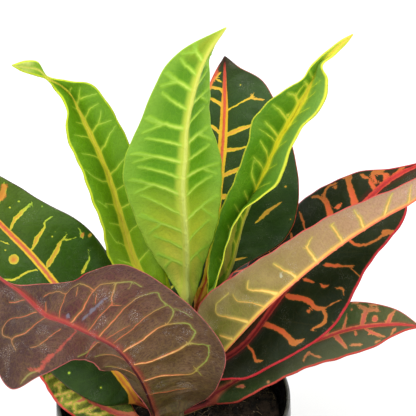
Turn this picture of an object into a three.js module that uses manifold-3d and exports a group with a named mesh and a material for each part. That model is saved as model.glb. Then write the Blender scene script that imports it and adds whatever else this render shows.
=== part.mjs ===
// A young croton plant in a small plastic nursery pot.
//
// Millimetres, +Z up. The origin is the middle of the pot's flat underside, and the plant is seen
// from the front along +Y. Every leaf is one closed solid with its stalk: a loft through sections
// given at the leaf's real size, to about half a millimetre. The blade has a raised rib below and
// waved edges.

import * as THREE from "three";
import { mergeVertices } from "three/addons/utils/BufferGeometryUtils.js";
import Module from "manifold-3d";

// ---- driving dimensions ----

const POT_HEIGHT = 90;
const POT_FOOT_RADIUS = 36;
const POT_BODY_TOP_RADIUS = 50.3;
const POT_WALL = 1.3;
const POT_FLOOR = 1.6;
const RIM_HEIGHT = 9;
const RIM_RADIUS = 52.5;
const RIM_FLARE = 0.5;
const RIM_TOP_WIDTH = 1.9;
const RIM_BEVEL = 0.5;
const RIM_JOINT_HEIGHT = 2;
const FOOT_BEVEL = 1;
const SKIRT = POT_HEIGHT - RIM_HEIGHT;
const DRAIN_HOLES = 8;
const DRAIN_RADIUS = 3;
const DRAIN_RING_RADIUS = 24;
const DRAIN_SIDES = 12;
const POT_SIDES = 48;

const SOIL_TOP = 79;
const SOIL_SHOULDER = 1.5;
const SOIL_ROUGHNESS = 1.1;
// The soil's surface is two crossing waves: how fast each one turns along X and Y, per millimetre.
const SOIL_WAVES = [[0.31, 0.13], [-0.17, 0.37]];
const SOIL_RINGS = 7;
const SOIL_SIDES = 48;
const CLEARANCE = 0.3;

const STEM_BASE = [0, -6, 50];
const STEM_SOIL = [0, -6, 81];
const STEM_TOP = [6, 0.5, 136];
const STEM_BASE_RADIUS = 4.6;
const STEM_TOP_RADIUS = 3;
const STEM_LEVELS = 10;
const STEM_SIDES = 12;
const STEM_HOLE_SIDES = 24;
const KNOT_HEIGHT = 0.25;
const BUD_LENGTH = 9;
// The bud at the stem's top: share of its length, and radius there.
const BUD_PROFILE = [[0.3, 2.2], [0.6, 1.5], [0.85, 0.8]];

const STALK_RADIUS = 1.5;
const HALF_THICKNESS = 0.35;
const RIB_HEIGHT = 1.1;
const TIP_HALF_WIDTH = 0.5;
// The waves of the right edge run this share of a wave ahead of the left edge's, and both have
// their full height where the half blade is at least this wide.
const RIGHT_EDGE_LEAD = 0.37;
const FULL_WAVE_WIDTH = 10;
const RINGS_PER_SECTION = 3;
// Columns of the blade between its midrib (0) and its edge (1).
const COLUMNS = [0, 0.35, 0.72, 1];

const COLOURS = {
  blackPlastic: 0x17181a,
  soil: 0x2a211b,
  bark: 0x6f6a3e,
  lime: 0x6fa52c,
  darkGreen: 0x2f4a2b,
  mottled: 0x5d6f35,
  purple: 0x6a4a42,
  tan: 0x8d7c55,
};
const ROUGHNESS = { plastic: 0.3, soil: 0.95, bark: 0.7, leaf: 0.45 };
const MERGE_DISTANCE = 1e-4;

// ---- leaves ----
//
// A section is [midrib, left edge, right edge], left and right as seen on the leaf's upper face
// with its tip pointing away. A section with the midrib alone is round stalk, or the tip at the
// end. camber lifts the middle of each half blade, wave is the height of the edge's waves.

const LEAVES = [
  {
    name: "leaf_crown", colour: COLOURS.lime, camber: 0.1, wave: 0.8, waves: 4, phase: 0.1,
    sections: [
      [[6, -6, 131]],
      [[7, -5.2, 142]],
      [[7, -6, 157], [12, -1, 152], [-1, -3, 154]],
      [[7, -9, 178], [18, 3, 170], [-10, -2, 173]],
      [[6, -11, 202], [20.5, 4, 195], [-18, -2, 197]],
      [[7, -11, 215.5], [21, 4.5, 208], [-17, -1, 210]],
      [[8, -11, 229], [16, 4, 224], [-13, 0, 221]],
      [[11, -10, 244], [17, 2, 239], [-4, -1, 242.5]],
      [[15, -9, 255], [16.5, -3, 255], [5, -3, 256.5]],
      [[22, -8, 268]],
    ],
  },
  {
    name: "leaf_lime_left", colour: COLOURS.lime, camber: 0.08, wave: 0.8, waves: 4, phase: 0.4,
    sections: [
      [[0.3, 2.2, 129]],
      [[-1, 3, 139]],
      [[-14, 8, 152], [-24, 0, 158], [-3, 0, 166]],
      [[-22, 14, 177], [-29, 1, 181], [-7, 3, 188]],
      [[-27, 19, 194], [-34, 6, 198], [-13, 8, 206]],
      [[-34, 23, 212], [-41.5, 11, 214], [-22, 13, 223]],
      [[-40, 24, 225], [-41, 15, 226], [-31, 16, 234.5]],
      [[-43, 21, 232], [-45.5, 17, 232], [-40.5, 17, 236]],
      [[-47.5, 15, 237.5], [-47.8, 14.5, 237], [-47.2, 15.5, 238.2]],
      [[-50.5, 12, 242.5], [-50.5, 11, 240], [-50, 12.5, 245.5]],
      [[-54.5, 9, 245], [-55.5, 8.5, 243], [-54, 9.5, 247.5]],
      [[-59, 6, 247]],
    ],
  },
  {
    name: "leaf_lime_right", colour: COLOURS.lime, camber: 0.1, wave: 0.8, waves: 4, phase: 0.7,
    sections: [
      [[10.6, 0.6, 126]],
      [[15, 4, 135]],
      [[22, 6, 143], [15, 1, 149], [18, -8, 153]],
      [[27, 10, 151], [16, 4, 158], [22, -7, 166]],
      [[32, 18, 170], [21, 8, 180], [29, 1, 182]],
      [[39, 23, 188], [27, 12, 198], [43, 8, 193]],
      [[44, 26, 200], [32, 14, 212], [48, 12, 204]],
      [[49, 28, 210], [34, 16, 219], [54, 16, 214]],
      [[54, 29, 221], [41, 18, 228], [61, 17, 224]],
      [[58, 29, 232], [53, 21, 235.5], [63, 20, 234]],
      [[61, 27, 238.5], [58, 24, 240.5], [61.5, 21, 239.5]],
      [[64.5, 25, 244], [62.5, 24, 245.5], [65.5, 23, 243.5]],
      [[68.5, 23, 249.5], [67.2, 23, 250], [70, 23, 248.5]],
      [[72, 22, 253]],
    ],
  },
  {
    name: "leaf_back_centre", colour: COLOURS.darkGreen, camber: 0.1, wave: 1, waves: 4, phase: 0.2,
    sections: [
      [[7.5, 3.4, 121]],
      [[11, 8, 133]],
      [[15, 16, 141], [4, 14, 144], [29, 15, 147]],
      [[18, 28, 153], [3, 25, 155], [49, 22, 158]],
      [[20, 41, 169], [1, 38, 170], [55, 28, 175]],
      [[22, 54, 185], [4, 50, 187], [52, 43, 192]],
      [[23, 64, 199], [10, 60, 199], [46, 55, 206]],
      [[23, 70, 208], [15, 67, 208], [39.5, 65, 213]],
      [[23, 73, 215], [19, 72, 215], [30, 71, 217]],
      [[23, 74, 221]],
    ],
  },
  {
    name: "leaf_left", colour: COLOURS.darkGreen, camber: 0.1, wave: 1.2, waves: 4, phase: 0.3,
    sections: [
      [[-5.2, -8, 86]],
      [[-16, -10, 93]],
      [[-22, -10, 105], [-31, -22, 102], [-15, -5, 113]],
      [[-32, -8, 122], [-45, -27, 119], [-17, 0, 136]],
      [[-44, -4, 144], [-60, -25, 137], [-25, 6, 157]],
      [[-57, 0, 163], [-76, -14, 151], [-37, 8, 175]],
      [[-70, 3, 178], [-87, -10, 169], [-54.5, 8, 186.5]],
      [[-81, 4, 194], [-92, -5, 189], [-69.5, 7, 199]],
      [[-91, 3, 214]],
    ],
  },
  {
    name: "leaf_front_left", colour: COLOURS.purple, camber: 0.12, wave: 1.2, waves: 4, phase: 0.6,
    sections: [
      [[-1.5, -12, 84]],
      [[-6.5, -17, 87]],
      [[-8, -20, 96], [12.5, -18, 99], [-11, -20, 100]],
      [[-11, -26, 114], [20, -24, 117], [-21, -22, 117]],
      [[-14, -31, 127], [22, -30, 138], [-28, -24, 123]],
      [[-21, -40, 147], [6, -37, 169], [-31, -32, 133]],
      [[-33, -50, 164], [-13, -43, 188], [-39, -42, 141]],
      [[-39, -54, 171], [-27, -48, 189], [-50.5, -47, 140]],
      [[-44, -58, 177], [-36, -52, 188], [-61.5, -52, 136]],
      [[-52, -62, 191], [-52, -60, 192], [-65, -58, 161.5]],
      [[-61, -62, 200]],
    ],
  },
  {
    name: "leaf_low_left", colour: COLOURS.mottled, camber: 0.1, wave: 0.8, waves: 3, phase: 0.1,
    sections: [
      [[-4.6, -11, 83]],
      [[-15, -13, 85]],
      [[-27, -13, 90], [-31, -20, 87], [-22, -6, 96]],
      [[-38, -15, 101], [-45, -20, 95.5], [-32, -6, 107]],
      [[-48, -14, 112], [-52, -22, 109], [-41, -5, 116]],
      [[-56, -14, 123], [-56, -21, 118.5], [-52, -8, 126]],
      [[-62, -15, 131]],
    ],
  },
  {
    name: "leaf_right_upper", colour: COLOURS.tan, camber: 0.1, wave: 0.8, waves: 3, phase: 0.2,
    sections: [
      [[8, -6.2, 102]],
      [[17, -4, 107]],
      [[23, -8, 119], [19, 4, 118], [11, -14, 145]],
      [[38, -12, 143], [31, 6, 139], [25, -18, 166]],
      [[53, -14, 162], [48, 6, 157], [42, -20, 181]],
      [[68, -15, 178], [65, 4, 172], [59, -20, 193]],
      [[83, -15, 190], [81, 0, 187], [76, -19, 203]],
      [[96, -15, 199], [96, -4, 196], [91, -18, 210]],
      [[108, -15, 211], [108, -10, 210], [105, -16, 217]],
      [[116, -15, 222]],
    ],
  },
  {
    name: "leaf_right", colour: COLOURS.darkGreen, camber: 0.08, wave: 1, waves: 4, phase: 0.5,
    sections: [
      [[8, -2, 98]],
      [[21, 2, 105], [18.5, 6, 107.5], [26, -9, 104.5]],
      [[34, 6, 115], [24, 18, 119], [39, -8, 108]],
      [[49, 14, 135], [36, 32, 142], [67, -4, 127]],
      [[69, 22, 157], [55, 43, 163], [82, 2, 154]],
      [[88, 28, 178], [79, 37, 182], [97, 12, 173]],
      [[97, 29, 186], [94, 31, 188], [101, 20, 181]],
      [[109.5, 28, 193.5]],
    ],
  },
  {
    name: "leaf_low_right", colour: COLOURS.darkGreen, camber: 0.1, wave: 0.8, waves: 3, phase: 0.8,
    sections: [
      [[6.9, -5, 84]],
      [[16, -4, 87]],
      [[24, -2, 95], [22, 8, 95], [29, -10, 93]],
      [[39, 4, 99], [33, 16, 104], [43, -8, 100]],
      [[57, 10, 106], [53, 22, 114], [59.5, -4, 108]],
      [[74, 14, 112], [73, 24, 121], [76, 0, 110]],
      [[86, 15, 115], [85, 22, 124], [87.5, 4, 111]],
      [[99, 15, 116], [100, 19, 122], [99, 9, 115.5]],
      [[111, 14, 116]],
    ],
  },
  {
    name: "leaf_back_left", colour: COLOURS.darkGreen, camber: 0.08, wave: 1.2, waves: 4, phase: 0.3,
    sections: [
      [[-0.2, 1.3, 112]],
      [[-3, 8, 118]],
      [[-6, 18, 125], [-16, 14, 127], [4, 21, 127]],
      [[-11, 32, 129], [-32, 24, 132], [12, 40, 135]],
      [[-18, 52, 130], [-37, 44, 134], [6, 60, 137]],
      [[-24, 71, 119], [-37, 64, 121], [-5, 79, 123]],
      [[-28, 86, 108], [-36, 82, 109], [-17, 90, 110]],
      [[-30, 95, 99]],
    ],
  },
  {
    name: "leaf_back_right", colour: COLOURS.darkGreen, camber: 0.08, wave: 1.2, waves: 4, phase: 0.8,
    sections: [
      [[6.6, 1.4, 103]],
      [[10, 9, 106]],
      [[13, 16, 110], [4, 20, 112], [21, 13, 112]],
      [[21, 36, 117], [-2, 45, 121], [43, 27, 121]],
      [[28, 55, 119], [4, 65, 123], [51, 45, 123]],
      [[35, 74, 115], [15, 83, 118], [54, 67, 118]],
      [[40, 89, 107], [29, 94, 109], [50, 84, 109]],
      [[43, 98, 100]],
    ],
  },
  {
    name: "leaf_back_low", colour: COLOURS.darkGreen, camber: 0.08, wave: 1.2, waves: 4, phase: 0.1,
    sections: [
      [[1.3, 1, 89]],
      [[1.5, 8, 93]],
      [[1, 16, 97], [-9, 16, 99], [11, 16, 99]],
      [[0, 34, 103], [-26, 34, 107], [26, 34, 107]],
      [[-1, 54, 104], [-28, 54, 108], [26, 54, 108]],
      [[-2, 74, 98], [-24, 75, 102], [20, 75, 102]],
      [[-3, 90, 87], [-15, 91, 90], [9, 91, 90]],
      [[-4, 99, 77]],
    ],
  },
  {
    name: "leaf_back_far_left", colour: COLOURS.darkGreen, camber: 0.08, wave: 1, waves: 4, phase: 0.6,
    sections: [
      [[-3, -1, 96]],
      [[-9, 3, 100]],
      [[-16, 8, 105], [-21, 1, 107], [-10, 15, 107]],
      [[-29, 16, 111], [-39, 0, 114], [-19, 32, 114]],
      [[-43, 25, 112], [-54, 9, 115], [-32, 41, 115]],
      [[-56, 33, 108], [-65, 19, 111], [-48, 47, 111]],
      [[-66, 40, 101], [-71, 33, 103], [-61, 46, 103]],
      [[-72, 44, 94]],
    ],
  },
];

// ---- leaf solid ----

const vector = (xyz) => new THREE.Vector3(...xyz);

function smoothCurve(points) {
  return new THREE.CatmullRomCurve3(points, false, "catmullrom");
}

// Fills in the edges of the sections that give the midrib alone: a round stalk, or the tip.
function fullSections(sections) {
  const blades = sections.filter((section) => section.length === 3);
  return sections.map((section, index) => {
    const middle = vector(section[0]);
    if (section.length === 3) {
      return { middle, left: vector(section[1]), right: vector(section[2]), round: 0 };
    }
    const isTip = index === sections.length - 1;
    const nearest = isTip ? blades[blades.length - 1] : blades[0];
    const next = vector(sections[isTip ? index - 1 : index + 1][0]);
    const along = next.sub(middle).normalize();
    const across = vector(nearest[2]).sub(vector(nearest[1]));
    across.addScaledVector(along, -across.dot(along)).normalize();
    const reach = isTip ? TIP_HALF_WIDTH : STALK_RADIUS;
    return {
      middle,
      left: middle.clone().addScaledVector(across, -reach),
      right: middle.clone().addScaledVector(across, reach),
      round: isTip ? 0 : 1,
    };
  });
}

// One ring of the loft: the points of the upper face from the left edge to the right one, and
// the matching points of the lower face.
function ring(leaf, curves, rounds, progress) {
  const middle = curves.middle.getPoint(progress);
  const along = curves.middle.getTangent(progress);
  const edges = { left: curves.left.getPoint(progress), right: curves.right.getPoint(progress) };
  const place = progress * (rounds.length - 1);
  const before = Math.min(Math.floor(place), rounds.length - 2);
  const round = THREE.MathUtils.lerp(rounds[before], rounds[before + 1], place - before);
  const facing = {};
  for (const side of ["left", "right"]) {
    const outward = edges[side].clone().sub(middle).multiplyScalar(side === "left" ? -1 : 1);
    facing[side] = outward.cross(along).normalize();
  }
  const ribFacing = facing.left.clone().add(facing.right).normalize();
  const upper = [];
  const lower = [];
  const addColumn = (side, fraction) => {
    const reach = edges[side].distanceTo(middle);
    const lead = side === "left" ? 0 : RIGHT_EDGE_LEAD;
    const turn = 2 * Math.PI * (leaf.waves * progress + leaf.phase + lead);
    const wave = leaf.wave * Math.sin(turn) * fraction ** 2 * Math.min(1, reach / FULL_WAVE_WIDTH);
    const lift = leaf.camber * 4 * fraction * (1 - fraction) * reach * (1 - round);
    const face = fraction === 0 ? ribFacing : facing[side];
    const point = middle.clone().lerp(edges[side], fraction).addScaledVector(face, lift + wave);
    const stalk = STALK_RADIUS * Math.sqrt(Math.max(0, 1 - fraction ** 2));
    const top = THREE.MathUtils.lerp(HALF_THICKNESS, Math.max(HALF_THICKNESS, stalk), round);
    const rib = fraction === 0 ? RIB_HEIGHT * (1 - progress) : 0;
    const bottom = THREE.MathUtils.lerp(HALF_THICKNESS + rib, Math.max(HALF_THICKNESS, stalk), round);
    upper.push(point.clone().addScaledVector(face, top));
    lower.push(point.clone().addScaledVector(face, -bottom));
  };
  for (const fraction of [...COLUMNS].reverse()) addColumn("left", fraction);
  for (const fraction of COLUMNS.slice(1)) addColumn("right", fraction);
  return { upper, lower };
}

function leafGeometry(leaf) {
  const sections = fullSections(leaf.sections);
  const curves = {};
  for (const line of ["middle", "left", "right"]) {
    curves[line] = smoothCurve(sections.map((section) => section[line]));
  }
  const rounds = sections.map((section) => section.round);
  const steps = (sections.length - 1) * RINGS_PER_SECTION;
  const positions = [];
  const rings = [];
  for (let step = 0; step <= steps; step += 1) {
    const { upper, lower } = ring(leaf, curves, rounds, step / steps);
    const loop = [...upper, ...lower.reverse()];
    rings.push(loop.map((point) => positions.push(point.x, point.y, point.z) / 3 - 1));
  }
  const around = rings[0].length;
  const columns = around / 2;
  const faces = [];
  const quad = (a, b, c, d, flip) => {
    if (flip) faces.push(a, b, d, b, c, d);
    else faces.push(a, b, c, a, c, d);
  };
  for (let step = 0; step < steps; step += 1) {
    const near = rings[step];
    const far = rings[step + 1];
    for (let k = 0; k < around; k += 1) {
      const next = (k + 1) % around;
      // The lower face is split along the same diagonals as the upper face.
      const column = k < columns ? k : around - 2 - k;
      const flip = (column < (columns - 1) / 2) === (k < columns);
      quad(near[k], near[next], far[next], far[k], flip);
    }
  }
  // Each end is closed by a strip between its upper and lower rows.
  for (const [loop, isStart] of [[rings[0], true], [rings[steps], false]]) {
    for (let k = 0; k < columns - 1; k += 1) {
      const [a, b, c, d] = [loop[k], loop[k + 1], loop[around - 2 - k], loop[around - 1 - k]];
      if (isStart) faces.push(a, c, b, a, d, c);
      else faces.push(a, b, c, a, c, d);
    }
  }
  const geometry = new THREE.BufferGeometry();
  geometry.setAttribute("position", new THREE.Float32BufferAttribute(positions, 3));
  geometry.setIndex(faces);
  return geometry;
}

// ---- cutting ----

const wasm = await Module();
wasm.setup();

function solidOf(geometry) {
  const bare = geometry.clone();
  bare.deleteAttribute("normal");
  bare.deleteAttribute("uv");
  const merged = mergeVertices(bare, MERGE_DISTANCE);
  return new wasm.Manifold(new wasm.Mesh({
    numProp: 3,
    vertProperties: new Float32Array(merged.attributes.position.array),
    triVerts: new Uint32Array(merged.index.array),
  }));
}

function geometryOf(solid) {
  const mesh = solid.getMesh();
  const geometry = new THREE.BufferGeometry();
  geometry.setAttribute("position", new THREE.BufferAttribute(new Float32Array(mesh.vertProperties), 3));
  geometry.setIndex(new THREE.BufferAttribute(new Uint32Array(mesh.triVerts), 1));
  return geometry;
}

function verticalCylinder(radius, bottom, top, sides, x, y) {
  const geometry = new THREE.CylinderGeometry(radius, radius, top - bottom, sides);
  geometry.rotateX(Math.PI / 2);
  geometry.translate(x, y, (top + bottom) / 2);
  return geometry;
}

// A closed profile of [radius, height] points turned about the Z axis.
function turned(profile, sides) {
  const geometry = new THREE.LatheGeometry(profile.map(([r, z]) => new THREE.Vector2(r, z)), sides);
  geometry.rotateX(Math.PI / 2);
  return geometry;
}

// ---- pot ----

// Radius of the wall's inner side, which widens evenly from the floor to the rim band.
function innerRadius(height) {
  const share = (height - POT_FLOOR) / (SKIRT - POT_FLOOR);
  return THREE.MathUtils.lerp(POT_FOOT_RADIUS, POT_BODY_TOP_RADIUS, share) - POT_WALL;
}

function potGeometry() {
  const bandInside = RIM_RADIUS + RIM_FLARE - POT_WALL;
  const mouth = RIM_RADIUS - RIM_TOP_WIDTH;
  const profile = [
    [0, 0],
    [POT_FOOT_RADIUS - FOOT_BEVEL, 0],
    [POT_FOOT_RADIUS, FOOT_BEVEL],
    [POT_BODY_TOP_RADIUS, SKIRT + RIM_JOINT_HEIGHT],
    [bandInside, SKIRT + RIM_JOINT_HEIGHT],
    [bandInside, SKIRT],
    [RIM_RADIUS + RIM_FLARE, SKIRT],
    [RIM_RADIUS, POT_HEIGHT - RIM_BEVEL],
    [RIM_RADIUS - RIM_BEVEL, POT_HEIGHT],
    [mouth + RIM_BEVEL, POT_HEIGHT],
    [mouth, POT_HEIGHT - RIM_BEVEL],
    [innerRadius(SKIRT), SKIRT],
    [innerRadius(POT_FLOOR), POT_FLOOR],
    [0, POT_FLOOR],
  ];
  let pot = solidOf(turned(profile, POT_SIDES));
  for (let hole = 0; hole < DRAIN_HOLES; hole += 1) {
    const turn = (2 * Math.PI * hole) / DRAIN_HOLES;
    const x = DRAIN_RING_RADIUS * Math.cos(turn);
    const y = DRAIN_RING_RADIUS * Math.sin(turn);
    const drain = verticalCylinder(DRAIN_RADIUS, -POT_FLOOR, 2 * POT_FLOOR, DRAIN_SIDES, x, y);
    pot = pot.subtract(solidOf(drain));
  }
  return geometryOf(pot);
}

// ---- soil ----

function soilBump(x, y) {
  let height = 0;
  for (const [alongX, alongY] of SOIL_WAVES) height += Math.sin(x * alongX + y * alongY);
  return (SOIL_ROUGHNESS * height) / SOIL_WAVES.length;
}

function stemAxis(height) {
  const share = (height - STEM_SOIL[2]) / (STEM_TOP[2] - STEM_SOIL[2]);
  return vector(STEM_SOIL).lerp(vector(STEM_TOP), Math.max(0, share));
}

// The pot's filling: it keeps clear of the wall and the floor, its top is uneven, and it has a
// plain hole for the stem.
function soilGeometry() {
  const bottom = POT_FLOOR + CLEARANCE;
  const shoulder = SOIL_TOP - SOIL_SHOULDER;
  const profile = [
    [0, bottom],
    [innerRadius(bottom) - CLEARANCE, bottom],
    [innerRadius(shoulder) - CLEARANCE, shoulder],
  ];
  const topRadius = innerRadius(shoulder) - SOIL_SHOULDER;
  for (let ringNumber = SOIL_RINGS; ringNumber >= 0; ringNumber -= 1) {
    profile.push([(topRadius * ringNumber) / SOIL_RINGS, SOIL_TOP]);
  }
  const geometry = turned(profile, SOIL_SIDES);
  const position = geometry.attributes.position;
  for (let k = 0; k < position.count; k += 1) {
    if (position.getZ(k) > (SOIL_TOP + shoulder) / 2) {
      position.setZ(k, SOIL_TOP + soilBump(position.getX(k), position.getY(k)));
    }
  }
  const [x, y, foot] = STEM_BASE;
  const above = SOIL_TOP + 2 * SOIL_ROUGHNESS;
  const hole = verticalCylinder(STEM_BASE_RADIUS + CLEARANCE, foot - CLEARANCE, above, STEM_HOLE_SIDES, x, y);
  return geometryOf(solidOf(geometry).subtract(solidOf(hole)));
}

// ---- stem ----

// A short woody stem that stands upright in its hole, leans a little above it, and ends in a bud.
function stemGeometry() {
  const sides = STEM_SIDES;
  const levels = [[STEM_BASE[2], STEM_BASE_RADIUS]];
  for (let step = 0; step <= STEM_LEVELS; step += 1) {
    const share = step / STEM_LEVELS;
    const height = THREE.MathUtils.lerp(STEM_SOIL[2], STEM_TOP[2], share);
    const knot = step % 2 === 1 ? KNOT_HEIGHT : 0;
    levels.push([height, THREE.MathUtils.lerp(STEM_BASE_RADIUS, STEM_TOP_RADIUS, share) + knot]);
  }
  for (const [share, radius] of BUD_PROFILE) {
    levels.push([STEM_TOP[2] + share * BUD_LENGTH, radius]);
  }
  const positions = [];
  const faces = [];
  for (const [height, radius] of levels) {
    const centre = stemAxis(height);
    for (let k = 0; k < sides; k += 1) {
      const turn = (2 * Math.PI * k) / sides;
      positions.push(centre.x + radius * Math.cos(turn), centre.y + radius * Math.sin(turn), height);
    }
  }
  const bottom = positions.length / 3;
  positions.push(STEM_BASE[0], STEM_BASE[1], STEM_BASE[2]);
  const budTip = stemAxis(STEM_TOP[2] + BUD_LENGTH);
  positions.push(budTip.x, budTip.y, STEM_TOP[2] + BUD_LENGTH);
  const last = (levels.length - 1) * sides;
  for (let k = 0; k < sides; k += 1) {
    const next = (k + 1) % sides;
    for (let level = 0; level < levels.length - 1; level += 1) {
      const low = level * sides;
      const high = low + sides;
      faces.push(low + k, low + next, high + next, low + k, high + next, high + k);
    }
    faces.push(bottom, next, k);
    faces.push(bottom + 1, last + k, last + next);
  }
  const geometry = new THREE.BufferGeometry();
  geometry.setAttribute("position", new THREE.Float32BufferAttribute(positions, 3));
  geometry.setIndex(faces);
  return geometry;
}

// ---- the plant in its pot ----

const pottedCroton = new THREE.Group();

function addPiece(name, geometry, colour, roughness) {
  geometry.computeVertexNormals();
  const material = new THREE.MeshStandardMaterial({ color: colour, roughness, metalness: 0 });
  const mesh = new THREE.Mesh(geometry, material);
  mesh.name = name;
  pottedCroton.add(mesh);
}

addPiece("pot", potGeometry(), COLOURS.blackPlastic, ROUGHNESS.plastic);
addPiece("soil", soilGeometry(), COLOURS.soil, ROUGHNESS.soil);
addPiece("stem", stemGeometry(), COLOURS.bark, ROUGHNESS.bark);
for (const leaf of LEAVES) addPiece(leaf.name, leafGeometry(leaf), leaf.colour, ROUGHNESS.leaf);

export default pottedCroton;
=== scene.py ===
"""A young croton in a small black nursery pot, dressed for a plain studio picture.

Every leaf is lofted again at a fine resolution through the same sections as its solid. Its veins,
midrib, margin and spots are laid out in millimetres on the flattened blade. They shape the surface
and drive the colours, so nothing depends on where the camera stands.
"""

import math
from types import SimpleNamespace

import bmesh
import bpy
import numpy as np
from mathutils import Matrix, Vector, noise


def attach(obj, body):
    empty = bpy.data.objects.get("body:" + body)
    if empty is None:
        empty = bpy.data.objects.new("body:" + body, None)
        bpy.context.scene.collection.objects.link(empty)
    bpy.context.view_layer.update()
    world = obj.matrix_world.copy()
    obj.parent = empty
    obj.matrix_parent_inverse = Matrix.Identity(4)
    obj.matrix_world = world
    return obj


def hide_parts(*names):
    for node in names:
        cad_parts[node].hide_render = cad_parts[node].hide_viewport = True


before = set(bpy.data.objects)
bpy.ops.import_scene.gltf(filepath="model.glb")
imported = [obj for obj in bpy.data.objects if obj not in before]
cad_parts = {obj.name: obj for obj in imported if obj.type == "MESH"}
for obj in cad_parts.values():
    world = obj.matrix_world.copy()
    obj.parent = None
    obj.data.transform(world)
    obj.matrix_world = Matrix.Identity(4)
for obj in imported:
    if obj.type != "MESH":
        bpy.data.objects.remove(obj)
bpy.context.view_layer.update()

MM = 0.001

# ---- driving dimensions, in millimetres ----

POT_HEIGHT = 90
POT_FOOT_RADIUS = 36
POT_FOOT_ROUNDING = 0.9
POT_BODY_TOP_RADIUS = 50.3
POT_WALL = 1.3
POT_FLOOR = 1.6
RIM_HEIGHT = 9
RIM_RADIUS = 52.5
RIM_FLARE = 0.5
RIM_TOP_WIDTH = 1.9
RIM_BAND_DEPTH = 2
# depth of the painted grey reflection along the top of the pot's lip, in mm
LIP_REFLECTION_DEPTH = 0.9
SKIRT = POT_HEIGHT - RIM_HEIGHT
DRAIN_HOLES = 8
DRAIN_RADIUS = 3
DRAIN_RING_RADIUS = 24
DRAIN_SIDES = 32
POT_SIDES = 144
POT_SHARP_ANGLE = 40

SOIL_TOP = 79
SOIL_SHOULDER = 1.5
SOIL_ROUGHNESS = 1.1
SOIL_CRUMBLE = 0.7
SOIL_WALL_GAP = 0.6
SOIL_SEED = 7
SOIL_SIDES = 160
SOIL_RINGS = 44
CLEARANCE = 0.3
CRUMB_STAND = 0.25
CRUMBS = dict(count=1300, smallest=0.8, largest=2.8)
SPECKS = dict(count=110, smallest=0.3, largest=0.9)
FIBRES = 150
FIBRE_POINTS = 14
FIBRE_SIDES = 5
FIBRE_LIFT = 0.3
FIBRE_HUMP = 0.9

STEM_BASE = (0, -6, 50)
STEM_SOIL = (0, -6, 81)
STEM_TOP = (6, 0.5, 136)
STEM_BASE_RADIUS = 4.6
STEM_TOP_RADIUS = 3
STEM_SIDES = 48
STEM_STEP = 0.5
STEM_SWELLING = 0.7
STEM_SCARS = 0.2
ROOT_DROP = 2
ROOT_SHARE = 0.3
BUD_LENGTH = 9
BUD_SCALES = 0.22
BUD_PROFILE = ((0, 0.3, 0.6, 0.85, 1), (STEM_TOP_RADIUS, 2.2, 1.5, 0.8, 0.15))

STALK_RADIUS = 1.5
SIGNS = {"L": -1, "R": 1}
BLADE_HALF_THICKNESS = 0.24
TIP_HALF_WIDTH = 0.3
ROLLED_MARGIN = 0.3
RIGHT_EDGE_LEAD = 0.37
FULL_WAVE_WIDTH = 10
FULL_RELIEF_WIDTH = 8
FULL_CREST_WIDTH = 6
FULL_RIB_WIDTH = 4
FULL_SWELL_PLACE = 6
RIB_BELOW_TIP = 0.25
RIB_BELOW_STALK = 1.15
STALK_SWELLING = 1.25
ROW_SPACING = 0.45
COLUMN_SPACING = 0.7
HIDDEN_ROW_SPACING = 0.7
HIDDEN_COLUMN_SPACING = 1.2
DENSE_ROWS = 1500
FEWEST_ROWS = 40
FEWEST_COLUMNS = 14
MOST_COLUMNS = 44
RIB_BLEND = 2.5

VEIN_WAVER = 0.1
THINNEST_VEIN = 0.08
FAR_FROM_VEINS = 12.0
PLAIN_LINES = dict(lean=0.4, reach=0.85, width=0.3, end_width=0.1)
GROOVE_DEPTH = 0.1
GROOVE_REACH = 0.5
RIDGE_HEIGHT = 0.22
RIDGE_REACH = 0.45
QUILT_REACH = 3
SWELL_HEIGHT = 0.22
SWELL_LENGTH = 22
RUFFLE_LENGTHS = {"L": 9, "R": 10.5}
LEAF_SEED = 100
PLAIN_LEAF = dict(crest=-0.2, bend=2.2, ruffle=0.2, quilt=0.5)
LEAF_BUMP = 0.00012
# pale specks on the leaves: dust, with painted glints among them
DUST_AND_GLINT_COLOUR = (214, 208, 202)


# ---- veins ----
#
# A place on a leaf is (section, share): section 3.5 is halfway between its fourth and fifth
# section, and share runs from 0 at the midrib to 1 at the margin. A vein is a list of
# (section, share, half width in mm), and a spot is a vein with one place. Left (L) and right (R)
# are as seen on the upper face, tip away.

def pinnate(starts, lean, reach, width, end_width, fork=0.0):
    """Regular side veins that leave the midrib at `starts`, bend to the tip and may end in a fork."""
    veins = []
    for number, start in enumerate(starts):
        minor = number % 2
        far = reach * (1 - 0.15 * minor)
        thick = width * (1 - 0.35 * minor)
        line = []
        for share in (0, 0.3, 0.6, 0.85, 1):
            place = start + lean * (0.6 * share + 0.4 * share ** 2)
            line.append((place, far * share, thick + (end_width - thick) * share))
        veins.append(line)
        if fork and not minor:
            root, tip = line[2], line[4]
            for turn in (-0.8, 1):
                end = (root[0] + turn * fork, tip[1] * 0.95, end_width)
                veins.append([(root[0], root[1], root[2] * 0.7), end])
    return veins


def stains(starts, lean, width, seed):
    """Irregular coloured veins: patchy, forked, and of many lengths, as on a mature leaf."""
    random = np.random.default_rng(seed)
    veins = []
    for start in starts:
        far = random.uniform(0.45, 0.92)
        thick = width * random.uniform(0.6, 1.2)
        line = []
        for share in (0.0, 0.3, 0.65, 1):
            swell = random.uniform(0.6, 1.15) * (1 - 0.55 * share)
            line.append((start + lean * share * far, 0.03 + far * share, thick * swell))
        veins.append(line)
        if random.random() < 0.6:
            fork = line[2]
            turn = random.choice([-1, 1])
            end = (fork[0] + turn * lean * 0.5 + 0.1, min(0.95, fork[1] + 0.2), thick * 0.25)
            veins.append([(fork[0], fork[1], thick * 0.4), end])
        if random.random() < 0.5:
            spot = (start + lean * 0.5 + random.uniform(0.15, 0.3), random.uniform(0.3, 0.85))
            veins.append([(*spot, width * random.uniform(0.4, 0.9))])
    return veins


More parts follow.
